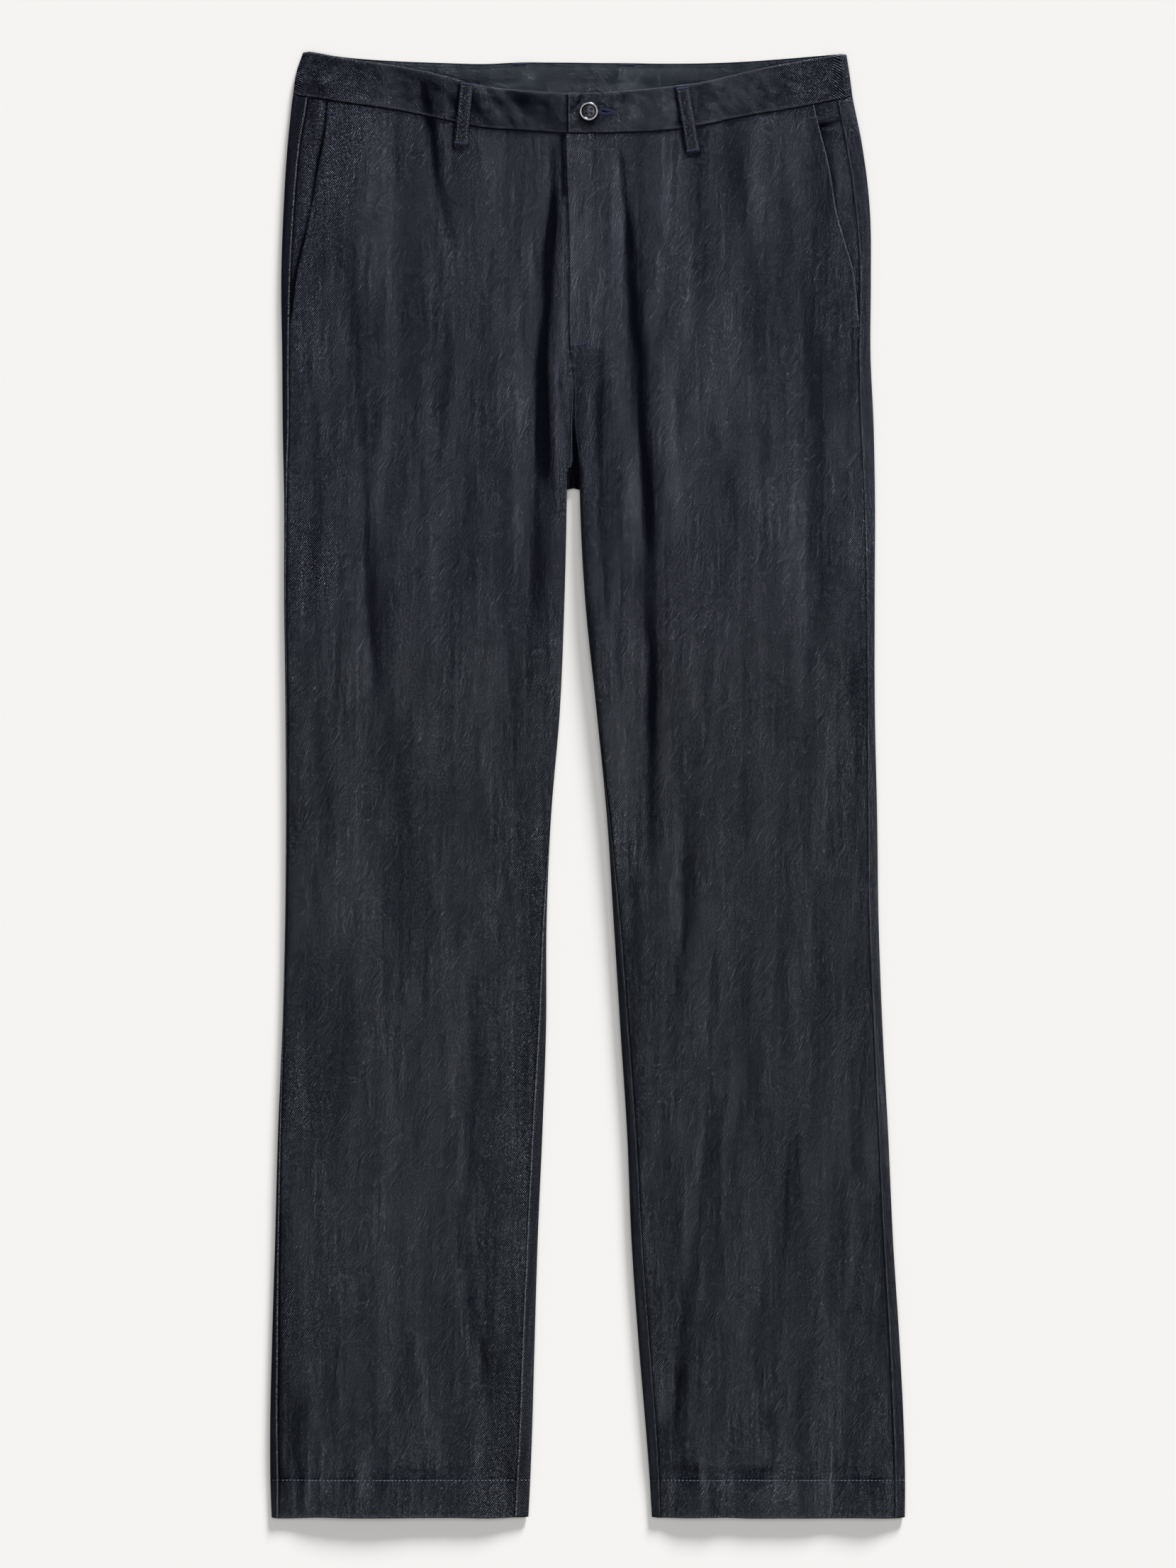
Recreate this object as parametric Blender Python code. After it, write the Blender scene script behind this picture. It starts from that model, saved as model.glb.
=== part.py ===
"""Straight-leg denim trousers, buttoned, lying face up on a flat surface.

Right and left are the wearer's. The wearer's right leg is at -X, the waist at +Y and the hems at -Y.
The floor is z = 0, and the origin is the middle of the laid garment's outline on it.

Every piece of cloth is a wall between two grids of points. The outline, the seams and the waist come
from the tables below, and the front layer sinks into the folds of the fold table. The back panels lie
flat and come round both edges of each leg, so the side seams and inseams lie on top.
"""

import math

import bmesh
import bpy
import numpy as np

MM = 0.001  # the sizes and tables below are in millimetres

# Cloth
CLOTH = 1.5  # one layer of a panel
HEM_WALL = 2.6  # where the hem is turned up
HEM_TOP_Y = -542.8
BAND_WALL = 2.2  # waistband in front
BAND_BACK_WALL = 1.3  # its outer layer behind, with the facing on it
FACING_WALL = 1.2
LOOP_WALL = 1.4
SEAM_GAP = 0.3  # between pieces at a seam, and between layers

# How it lies
LEVEL = 6.2  # top of the front layer, away from edges and folds
EDGE_LEVEL = 6.8  # the same beside a folded edge
EDGE_REACH = 22.0  # how far in from an edge the cloth comes down to its level
EDGE_RADIUS = 3.4  # of the fold where it leaves the floor
EDGE_WIDTH = 4.0  # how far in the fold reaches its top
LEAST_ROOM = 0.4  # between the two layers at the bottom of a fold
CROTCH_Y = 241.5  # end of the front crotch seam
BACK_CROTCH_Y = 229.4
CROTCH_STEP = 1.2  # rows this far above and below a crotch point
CROTCH_RUN = 60.0  # length over which the crotch seam sinks
CROTCH_VALLEY = 8.0  # half its width
CENTRE_BACK_X = -11.0

# Waistband
SEAM_Y = 535.0  # the waist seam at the side edges
BAND_DEPTH = 34.4
BAND_STEP = 0.4  # the band stands this much over the panels
WAIST_RUN = 60.0  # the panels leave the band's height over this length

# Fly: the left front lies over the right one
FLY_END_Y = 341.0
FLY_END_RUN = 15.0
FLY_OVERLAP = 7.0
FLY_STEP = 1.8  # between the two fronts' faces at the fly
FLY_WIDTH = 28.0  # the left front comes down beyond this
FLY_RUN = 40.0
FLY_SINK_RUN = 7.0  # the right front goes down over this length before the fly edge
BUTTON_TAB = 27.0  # the band's right end, under its left end
TAB_SINK = 1.8

# Slant pockets
POCKET_END_Y = 364.0
POCKET_STEP = 0.9  # the front rises and the facing sinks this much at the opening
POCKET_RUN = 20.0
POCKET_SINK_RUN = 6.0
POCKET_UNDER = 8.0  # the facing goes this far under the front

# Belt loops
LOOP_WIDTH = 9.6
LOOP_CLEAR = 0.45
LOOP_ARCH = 0.6
BACK_LOOP_TAIL = 12.0  # below the waist seam
BACK_LOOP_SPREAD = 41.8  # from the centre back
LIFT = 1.7  # a back loop lifts the cloth on it this much,
LIFT_FLAT = 6.6  # level over this half width
LIFT_RUN = 12.5  # and down again over this
LIFT_TAIL = 14.5
LIFT_TAIL_RUN = 16.5

# Button
BUTTON_X, BUTTON_Y = 0.9, 522.0
BUTTON_RADIUS = 7.5
BUTTON_RIM = 1.6
BUTTON_THICK = 3.2
BUTTON_WELL = 1.1
BUTTON_EDGE = 0.9
BUTTON_HOLE_RADIUS = 0.85
BUTTON_HOLE_OFFSET = 1.45
BUTTON_SIDES = 32

SIDES = {"right": -1, "left": 1}

# Each leg from the waist to the hem: its outer and inner edges across the garment, and how far in from
# them the side seam and the inseam lie.
LEG_COLUMNS = ("y", "outer", "side_seam", "inseam", "inner")
LEG_ROWS = {
    "right": (
        (569.0, -220.6, 4.0, 0.0, -16.0),
        (554.0, -225.7, 9.0, 0.0, -16.0),
        (534.0, -228.8, 12.0, 0.0, -16.0),
        (500.0, -232.5, 10.1, 0.0, -16.0),
        (445.0, -236.1, 8.7, 0.0, -16.0),
        (390.0, -237.8, 7.6, 0.0, -16.0),
        (335.0, -237.1, 5.9, 0.0, -16.0),
        (280.0, -236.7, 5.5, 0.0, -16.0),
        (225.0, -235.6, 3.0, 0.0, -16.2),
        (140.0, -235.5, 2.0, 0.0, -18.1),
        (60.0, -234.5, 1.8, 0.0, -21.4),
        (-25.0, -234.1, 1.4, 0.4, -28.4),
        (-105.0, -234.8, 1.2, 3.5, -31.8),
        (-190.0, -236.9, 1.5, 6.6, -32.3),
        (-270.0, -240.3, 3.0, 8.5, -35.1),
        (-355.0, -242.6, 3.8, 8.9, -38.8),
        (-435.0, -245.0, 5.4, 10.0, -41.2),
        (-500.0, -246.4, 6.4, 10.6, -43.0),
        (-541.0, -246.2, 6.8, 11.0, -44.6),
        (-569.0, -245.2, 5.6, 11.0, -46.0),
    ),
    "left": (
        (569.0, 200.4, 7.0, 0.0, -6.6),
        (554.0, 202.9, 9.6, 0.0, -6.6),
        (534.0, 205.6, 12.2, 0.0, -6.6),
        (500.0, 212.4, 12.9, 0.0, -6.6),
        (445.0, 219.1, 11.5, 0.0, -6.6),
        (390.0, 219.8, 9.0, 0.0, -6.6),
        (335.0, 219.5, 9.5, 0.0, -6.6),
        (280.0, 221.9, 10.6, 0.0, -6.6),
        (225.0, 223.0, 9.1, 0.0, -6.1),
        (140.0, 222.8, 6.9, 0.0, -1.7),
        (60.0, 222.9, 6.4, 0.3, 6.6),
        (-25.0, 224.7, 7.9, 3.0, 14.9),
        (-105.0, 225.8, 8.0, 5.9, 20.1),
        (-190.0, 228.9, 7.5, 7.0, 25.4),
        (-270.0, 233.2, 8.1, 7.6, 30.6),
        (-355.0, 237.1, 8.0, 9.0, 34.1),
        (-435.0, 242.2, 8.4, 9.2, 39.7),
        (-500.0, 245.4, 8.7, 8.8, 45.2),
        (-541.0, 246.4, 8.3, 8.0, 48.3),
        (-569.0, 246.2, 8.1, 7.2, 50.0),
    ),
}

# The waist across the garment: the front waist seam, and the top edges of the band in front and behind.
WAIST_COLUMNS = ("x", "front_seam", "front_top", "back_top")
WAIST_ROWS = (
    (-229.0, 534.9, 569.6, 569.3),
    (-220.5, 533.6, 569.2, 569.0),
    (-188.0, 528.8, 563.7, 564.6),
    (-147.0, 522.7, 557.7, 561.6),
    (-115.0, 516.2, 551.2, 560.4),
    (-82.0, 509.4, 542.4, 559.5),
    (-50.0, 507.2, 538.8, 560.6),
    (-16.0, 505.2, 536.8, 560.6),
    (30.0, 505.7, 538.4, 560.0),
    (59.0, 507.1, 541.5, 559.8),
    (89.0, 511.3, 545.3, 560.0),
    (122.0, 518.1, 553.0, 561.3),
    (158.0, 524.3, 560.5, 563.9),
    (185.0, 529.4, 565.1, 566.2),
    (206.0, 533.6, 568.4, 568.0),
)

# The fly edge and, below the fly, the front crotch seam.
CENTRE_COLUMNS = ("y", "x")
CENTRE_ROWS = (
    (540.0, -15.0),
    (505.0, -17.0),
    (476.0, -16.0),
    (411.0, -14.0),
    (341.0, -13.5),
    (304.0, -10.5),
    (277.0, -11.4),
    (263.0, -9.6),
    (242.0, -7.8),
)

# How far in from the side edges the slant pockets open.
POCKET_COLUMNS = ("y", "right", "left")
POCKET_ROWS = (
    (534.0, 26.8, 31.0),
    (510.0, 27.7, 30.6),
    (480.0, 24.6, 28.0),
    (440.0, 20.0, 25.0),
    (420.0, 16.4, 19.7),
    (400.0, 12.1, 13.8),
    (380.0, 9.6, 11.0),
    (364.0, 7.4, 9.6),
)

# Height of the front waistband.
BAND_COLUMNS = ("x", "level")
BAND_ROWS = (
    (-229.0, 6.8),
    (-190.0, 6.6),
    (-130.0, 6.5),
    (-75.0, 7.1),
    (35.0, 7.1),
    (75.0, 6.9),
    (130.0, 6.5),
    (170.0, 6.6),
    (206.0, 6.8),
)

# Folds of the front layer, each a soft trough along a curve through three points that are evenly spaced
# in y: where it begins and ends, its way across at the top, the middle and the foot, half its width,
# and its depth.
FOLD_COLUMNS = ("name", "y_top", "y_foot", "x_top", "x_middle", "x_foot", "half_width", "depth")
FOLD_ROWS = (
    ("beside_fly", 515.0, 120.0, -20.0, -36.5, -34.5, 10.0, 2.9),
    ("left_thigh", 500.0, -85.0, 19.0, 49.5, 46.0, 10.0, 2.8),
    ("left_knee", 20.0, -215.0, 71.0, 77.0, 62.0, 10.0, 1.7),
    ("right_thigh", 405.0, 20.0, -180.0, -171.0, -160.0, 13.0, 2.0),
    ("right_knee", 60.0, -165.0, -163.0, -152.0, -141.0, 15.0, 1.3),
    ("right_waist", 548.0, 410.0, -128.0, -116.0, -104.0, 6.0, 1.2),
    ("right_inner_thigh", 190.0, -30.0, -64.0, -58.0, -62.0, 11.0, 1.6),
    ("left_mid_thigh", 425.0, 190.0, 129.0, 134.0, 137.0, 11.0, 1.5),
    ("left_outer_thigh", 415.0, 30.0, 167.0, 173.0, 171.0, 10.0, 1.8),
    ("left_side", 365.0, 195.0, 204.0, 202.0, 198.0, 7.0, 1.1),
    ("left_shin_inner", -205.0, -520.0, 110.0, 98.0, 66.0, 11.0, 1.7),
    ("left_shin_outer", -240.0, -530.0, 155.0, 148.0, 147.0, 12.0, 1.3),
    ("left_shin_side", -205.0, -345.0, 204.0, 208.0, 210.0, 9.0, 0.9),
    ("right_shin", -130.0, -350.0, -93.0, -91.0, -94.0, 12.0, 1.4),
    ("right_shin_foot", -340.0, -480.0, -94.0, -88.0, -72.0, 9.0, 1.2),
    ("right_ankle", -480.0, -545.0, -223.0, -224.0, -225.0, 6.0, 1.2),
)

# Front belt loops: the middle of each end.
LOOP_COLUMNS = ("name", "x_top", "y_top", "x_foot", "y_foot")
LOOP_ROWS = (
    ("belt_loop_front_right", -93.5, 545.0, -98.5, 496.0),
    ("belt_loop_front_left", 73.3, 541.8, 82.0, 490.5),
)

# Rows of points down the garment, and how closely each follows the waist seam in front and behind.
ROW_COLUMNS = ("y", "front_share", "back_share")
ROWS = (
    (SEAM_Y, 1.0, 1.0),
    (SEAM_Y - LIFT_TAIL, 0.97, 1.0),
    (SEAM_Y - LIFT_TAIL - LIFT_TAIL_RUN, 0.88, 1.0),
    (482.0, 0.72, 0.6),
    (458.0, 0.5, 0.3),
    (434.0, 0.25, 0.1),
    (412.0, 0.1, 0.0),
    (388.0, 0.0, 0.0),
    (POCKET_END_Y, 0.0, 0.0),
    (FLY_END_Y, 0.0, 0.0),
    (320.0, 0.0, 0.0),
    (295.0, 0.0, 0.0),
    (268.0, 0.0, 0.0),
    (CROTCH_Y + CROTCH_STEP, 0.0, 0.0),
    (CROTCH_Y - CROTCH_STEP, 0.0, 0.0),
    (BACK_CROTCH_Y + CROTCH_STEP, 0.0, 0.0),
    (BACK_CROTCH_Y - CROTCH_STEP, 0.0, 0.0),
    (200.0, 0.0, 0.0),
    (165.0, 0.0, 0.0),
    (130.0, 0.0, 0.0),
    (95.0, 0.0, 0.0),
    (60.0, 0.0, 0.0),
    (25.0, 0.0, 0.0),
    (-10.0, 0.0, 0.0),
    (-45.0, 0.0, 0.0),
    (-80.0, 0.0, 0.0),
    (-115.0, 0.0, 0.0),
    (-150.0, 0.0, 0.0),
    (-190.0, 0.0, 0.0),
    (-230.0, 0.0, 0.0),
    (-270.0, 0.0, 0.0),
    (-310.0, 0.0, 0.0),
    (-350.0, 0.0, 0.0),
    (-390.0, 0.0, 0.0),
    (-430.0, 0.0, 0.0),
    (-470.0, 0.0, 0.0),
    (-505.0, 0.0, 0.0),
    (-541.5, 0.0, 0.0),
    (-544.0, 0.0, 0.0),
    (-569.0, 0.0, 0.0),
)


def smoothstep(t):
    t = np.clip(t, 0.0, 1.0)
    return t * t * (3.0 - 2.0 * t)


def curve_at(at, columns, rows, name):
    """A cubic curve through one named column of a table, with each slope from the rows beside it."""
    knots, values = np.array(sorted((row[0], row[columns.index(name)]) for row in rows)).T
    slopes = np.gradient(values, knots)
    i = np.clip(np.searchsorted(knots, at) - 1, 0, len(knots) - 2)
    step = knots[i + 1] - knots[i]
    t = np.clip((at - knots[i]) / step, 0.0, 1.0)
    rest = 1.0 - t
    ends = values[i] * (1.0 + 2.0 * t) * rest**2 + values[i + 1] * (3.0 - 2.0 * t) * t**2
    return ends + step * t * rest * (slopes[i] * rest - slopes[i + 1] * t)


def leg(y, side, name):
    return curve_at(y, LEG_COLUMNS, LEG_ROWS[side], name)


def waist(x, name):
    if name == "back_seam":
        return curve_at(x, WAIST_COLUMNS, WAIST_ROWS, "back_top") - BAND_DEPTH
    return curve_at(x, WAIST_COLUMNS, WAIST_ROWS, name)


def centre_front(y):
    return curve_at(y, CENTRE_COLUMNS, CENTRE_ROWS, "x")


def centre_back(side):
    return CENTRE_BACK_X + SIDES[side] * 0.5 * SEAM_GAP


def panel_wall(y):
    """The wall doubles where the hem is turned up."""
    return np.where(y < HEM_TOP_Y, HEM_WALL, CLOTH)


def fold_depth(x, y, fold):
    """A bell across the fold's curve, which fades in and out along it."""
    row = dict(zip(FOLD_COLUMNS, fold))
    t = np.clip((row["y_top"] - y) / (row["y_top"] - row["y_foot"]), 0.0, 1.0)
    line = (
        row["x_top"] * (1.0 - t) * (1.0 - 2.0 * t)
        + row["x_middle"] * 4.0 * t * (1.0 - t)
        + row["x_foot"] * t * (2.0 * t - 1.0)
    )
    bell = np.exp(-1.4 * ((x - line) / row["half_width"]) ** 2)
    return row["depth"] * bell * smoothstep(4.0 * t) * smoothstep(4.0 * (1.0 - t))


def cloth_level(x, y, side):
    """Height of the front layer's face: higher at its edges and at the band, lower in the folds."""
    by_outer = 1.0 - smoothstep(np.abs(x - leg(y, side, "outer")) / EDGE_REACH)
    by_inner = 1.0 - smoothstep(np.abs(x - leg(y, side, "inner")) / EDGE_REACH)
    by_inner = by_inner * smoothstep((CROTCH_Y + CROTCH_RUN - y) / CROTCH_RUN)
    by_edge = by_outer + by_inner
    by_band = 1.0 - smoothstep((waist(x, "front_seam") - y) / WAIST_RUN)
    level = LEVEL + (EDGE_LEVEL - LEVEL) * by_edge
    level = level + (band_level(x) - BAND_STEP - level) * by_band
    folds = sum(fold_depth(x, y, fold) for fold in FOLD_ROWS)
    lowest = 2.0 * panel_wall(y) + LEAST_ROOM
    room = level - folds * (1.0 - by_edge) - lowest
    return lowest + 0.5 * (room + np.sqrt(room**2 + 0.1))


def by_fly(x, y, side):
    """How far the left front is lifted by the fly, or the right one sunk under it."""
    past = x - centre_front(y)
    along = smoothstep(1.0 + (y - FLY_END_Y) / FLY_END_RUN)
    if side == "left":
        return along * (1.0 - smoothstep((past - FLY_WIDTH) / FLY_RUN))
    return along * smoothstep(1.0 + past / FLY_SINK_RUN)


def past_opening(x, y, side):
    """How far inside the pocket opening a point lies."""
    return np.abs(x - leg(y, side, "outer")) - curve_at(y, POCKET_COLUMNS, POCKET_ROWS, side)


def front_level(x, y, side):
    """The front panel's face: it steps at the fly and the pocket opening, and sinks to the crotch."""
    level = cloth_level(x, y, side) + 0.5 * SIDES[side] * FLY_STEP * by_fly(x, y, side)
    at_pocket = smoothstep(1.0 + (y - POCKET_END_Y) / POCKET_RUN)
    level = level + POCKET_STEP * at_pocket * (1.0 - smoothstep(past_opening(x, y, side) / POCKET_RUN))
    to_crotch = np.where(y > CROTCH_Y, smoothstep(1.0 - (y - CROTCH_Y) / CROTCH_RUN), 0.0)
    valley = 1.0 - smoothstep(np.abs(x - centre_front(y)) / CROTCH_VALLEY)
    return level - to_crotch * valley * (level - EDGE_RADIUS)


def facing_level(x, y, side):
    """The pocket facing's face: level with the back panel, and parallel to the front under it."""
    past = past_opening(x, y, side)
    shown = cloth_level(x, y, side) - POCKET_STEP * smoothstep(1.0 + past / POCKET_SINK_RUN)
    return np.where(past > 0.0, front_level(x, y, side) - CLOTH - SEAM_GAP, shown)


def band_level(x):
    knots, levels = np.array(BAND_ROWS).T
    return np.interp(x, knots, levels)


def band_face(x, side):
    """The front waistband's face, with its left end over its right end."""
    step = {"right": -TAB_SINK, "left": 0.5 * FLY_STEP}[side]
    return band_level(x) + step * by_fly(x, SEAM_Y, side)


def floor_lift(x, y):
    """A back belt loop lifts the cloth that lies on it."""
    from_loop = np.abs(np.abs(x - CENTRE_BACK_X) - BACK_LOOP_SPREAD)
    below_seam = waist(x, "back_seam") - y
    across = np.clip(1.0 - (from_loop - LIFT_FLAT) / LIFT_RUN, 0.0, 1.0)
    along = np.clip(1.0 - (below_seam - LIFT_TAIL) / LIFT_TAIL_RUN, 0.0, 1.0)
    return LIFT * across * along


# How far from the centre back the cloth on the floor has a column of points: where it bends on the belt
# loops, and some further out
FLOOR_STEPS = np.concatenate(
    [
        BACK_LOOP_SPREAD - LIFT_FLAT - LIFT_RUN * np.array([1.0, 0.0]),
        BACK_LOOP_SPREAD + LIFT_FLAT + LIFT_RUN * np.array([0.0, 1.0]),
        np.linspace(88.0, 184.0, 5),
    ]
)
FLOOR_X = CENTRE_BACK_X + np.concatenate([-FLOOR_STEPS[::-1], FLOOR_STEPS])
ARC_OVER = 0.5 * math.pi * math.sqrt((EDGE_WIDTH**2 + EDGE_RADIUS**2) / 2.0)
ARC_UNDER = 0.5 * math.pi * EDGE_RADIUS


def over_edge(way):
    """From the way along the cloth over an edge: how far in it is, and its share of the height."""
    turn = 0.5 * math.pi * np.clip(way / ARC_OVER, 0.0, 1.0)
    return EDGE_WIDTH * (1.0 - np.cos(turn)) + np.maximum(way - ARC_OVER, 0.0), np.sin(turn)


def way_over(inset):
    """The way along the cloth over an edge that reaches this far in."""
    turn = np.arccos(np.clip(1.0 - inset / EDGE_WIDTH, -1.0, 1.0))
    turned = np.where(inset < EDGE_WIDTH, turn / (0.5 * math.pi), 1.0)
    return ARC_OVER * turned + np.maximum(inset - EDGE_WIDTH, 0.0)


def edge_point(way, y, at, inward, level):
    """A point near a folded edge: its way is over the top if positive, and under it if negative."""
    inset, share = over_edge(way)
    over_x = at + inward * inset
    over_z = EDGE_RADIUS + (level(over_x, y) - EDGE_RADIUS) * share
    turn = 0.5 * math.pi * np.clip(-way / ARC_UNDER, 0.0, 1.0)
    under_x = at + inward * (EDGE_RADIUS * (1.0 - np.cos(turn)) + np.maximum(-way - ARC_UNDER, 0.0))
    under_z = EDGE_RADIUS * (1.0 - np.sin(turn)) + floor_lift(under_x, y)
    return np.where(way > 0.0, over_x, under_x), np.where(way > 0.0, over_z, under_z)


def with_wall(point, along, y, wall, turn):
    """Grids of a face and its lining, which is moved in square to the face. Turn is its side."""
    step = 0.05
    x, z = point(along, y)
    x_before, z_before = point(along - step, y)
    x_after, z_after = point(along + step, y)
    run, rise = x_after - x_before, z_after - z_before
    scale = turn * wall / np.hypot(run, rise)
    face = np.stack([x, y, z], axis=-1)
    return np.array([face, np.stack([x + scale * rise, y, z - scale * run], axis=-1)])


def settle(rows, columns, build):
    """Builds a grid with heights that follow the waist seam where each of its points lies."""
    y = np.repeat(rows[:, None], columns, axis=1)
    for _ in range(4):
        grid, y = build(y)
    return grid


def row_y(x, seam):
    """The y of every row, which follows the waist seam by the row's own share."""
    rows = np.array(ROWS)
    share = rows[:, [1 if seam == "front_seam" else 2]]
    y = rows[:, :1] + share * (waist(x, seam) - SEAM_Y)
    y[0] -= 0.5 * SEAM_GAP
    return y


def front_panel(side, material):
    """The front of one leg: from the side seam or pocket opening to the fly, crotch seam and inseam."""
    sign = SIDES[side]
    near = np.array([0.0, 2.0, 4.2])  # closer steps beside both ends
    spread = 7.5
    even = np.linspace(0.0, 1.0, 16)

    def build(y):
        outer = leg(y, side, "outer")
        pocket = curve_at(y, POCKET_COLUMNS, POCKET_ROWS, side)
        beside_pocket = np.arange(len(ROWS))[:, None] <= [row[0] for row in ROWS].index(POCKET_END_Y)
        inset = np.where(beside_pocket, pocket, leg(y, side, "side_seam"))
        start = way_over(inset) + 0.5 * SEAM_GAP
        joined = y > CROTCH_Y
        overlap = FLY_OVERLAP * smoothstep((y - FLY_END_Y) / FLY_END_RUN) if side == "right" else 0.0
        seam = centre_front(y) + overlap + sign * 0.5 * SEAM_GAP
        inner = np.where(joined, seam, leg(y, side, "inner"))
        across = np.abs(inner - outer) - EDGE_WIDTH + ARC_OVER
        width = np.where(joined, across, across - EDGE_WIDTH + ARC_OVER)
        inseam = way_over(leg(y, side, "inseam")) + 0.5 * SEAM_GAP
        end = width - np.where(joined, 0.0, inseam)
        count = len(near)
        first, last = start + spread, end - spread
        middle = first[:, count:-count] + (last - first)[:, count:-count] * even
        ways = [start[:, :count] + near, middle, end[:, -count:] - near[::-1]]
        way = np.concatenate(ways, axis=1)

        def point(at, height):
            inset_outer, share_outer = over_edge(at)
            inset_inner, share_inner = over_edge(width - at)
            inset_inner = np.where(joined, width - at, inset_inner)
            share_inner = np.where(joined, 1.0, share_inner)
            x = np.where(at < 0.5 * width, outer - sign * inset_outer, inner + sign * inset_inner)
            share = share_outer + share_inner - 1.0
            return x, EDGE_RADIUS + (front_level(x, height, side) - EDGE_RADIUS) * share

        grid = with_wall(point, way, y, panel_wall(y), -sign)
        return grid, row_y(grid[0, ..., 0], "front_seam")

    grid = settle(np.array(ROWS)[:, 0], len(even) + 2 * len(near), build)
    return wall_between(f"front_panel_{side}", *grid, material)


def back_panel(side, material):
    """The back of one leg: flat on the floor, and round both edges to the seams on top."""
    sign = SIDES[side]
    turn = np.linspace(0.0, 1.0, 10)
    floor_steps = np.append(FLOOR_STEPS[::-1], 0.0)
    end_edge = len(turn)
    end_floor = end_edge + len(floor_steps)
    rows = np.array(ROWS)[:, 0]
    above_crotch = (rows > CROTCH_Y)[:, None]

    def build(y):
        edge_y, floor_y, inner_y = np.split(y, [end_edge, end_floor], axis=1)
        outer = leg(edge_y, side, "outer")
        seam = way_over(leg(edge_y, side, "side_seam")) - 0.5 * SEAM_GAP
        way = seam - (seam + ARC_UNDER) * turn

        def level(x, height):
            return cloth_level(x, height, side)

        def outer_point(at, height):
            return edge_point(at, height, outer, -sign, level)

        split = rows[:, None] > BACK_CROTCH_Y
        inner = np.where(split, centre_back(side), leg(inner_y, side, "inner"))
        last = np.where(above_crotch, centre_back(side), inner[:, :1] + sign * EDGE_RADIUS)
        floor_x = last + sign * floor_steps
        inseam = way_over(leg(inner_y, side, "inseam")) - 0.5 * SEAM_GAP
        inner_way = -ARC_UNDER + (inseam + ARC_UNDER) * turn[1:]

        def inner_point(at, height):
            return edge_point(at, height, inner, sign, level)

        def floor_point(at, height):
            return at, floor_lift(at, height)

        grid = np.concatenate(
            [
                with_wall(outer_point, way, edge_y, panel_wall(edge_y), -sign),
                with_wall(floor_point, floor_x, floor_y, panel_wall(floor_y), -1.0),
                with_wall(inner_point, inner_way, inner_y, panel_wall(inner_y), sign),
            ],
            axis=2,
        )
        x = grid[0, ..., 0]
        on_top = np.zeros(y.shape, bool)
        on_top[:, :end_edge] = way > 0.0
        return grid, np.where(on_top, row_y(x, "front_seam"), row_y(x, "back_seam"))

    columns = end_floor + end_edge - 1
    grid = settle(rows, columns, build)
    cells = np.ones((len(rows) - 1, columns - 1), bool)
    cells[(rows > CROTCH_Y)[:-1], end_floor - 1 :] = False
    return wall_between(f"back_panel_{side}", *grid, material, cells)


def pocket_facing(side, material):
    """The side piece that shows beside a pocket opening, and goes on under the front."""
    sign = SIDES[side]
    rows = np.array([row[0] for row in ROWS if row[0] > POCKET_END_Y] + [POCKET_END_Y + 1.0])

    def build(y):
        start = leg(y, side, "side_seam") + 0.5 * SEAM_GAP
        opening = curve_at(y, POCKET_COLUMNS, POCKET_ROWS, side)
        shown = start + (opening - start) * np.array([0.0, 0.5, 1.0, 1.0, 1.0])
        inset = shown + POCKET_UNDER * np.array([0.0, 0.0, 0.0, 0.5, 1.0])

        x = leg(y, side, "outer") - sign * inset
        face = np.stack([x, y, facing_level(x, y, side)], axis=-1)
        grid = np.array([face, face - np.array([0.0, 0.0, FACING_WALL])])
        share = np.array([row[1] for row in ROWS])[: len(rows), None]
        moved = rows[:, None] + share * (waist(x, "front_seam") - SEAM_Y)
        moved[0] -= 0.5 * SEAM_GAP
        return grid, moved

    grid = settle(rows, 5, build)
    return wall_between(f"pocket_facing_{side}", *grid, material)


def band_rows(x, behind):
    """Three rows up the waistband, in front or behind."""
    seam = waist(x, "back_seam" if behind else "front_seam") + 0.5 * SEAM_GAP
    top = waist(x, "back_top" if behind else "front_top")
    return seam + (top - seam) * np.array([0.0, 0.5, 1.0])[:, None]


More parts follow.
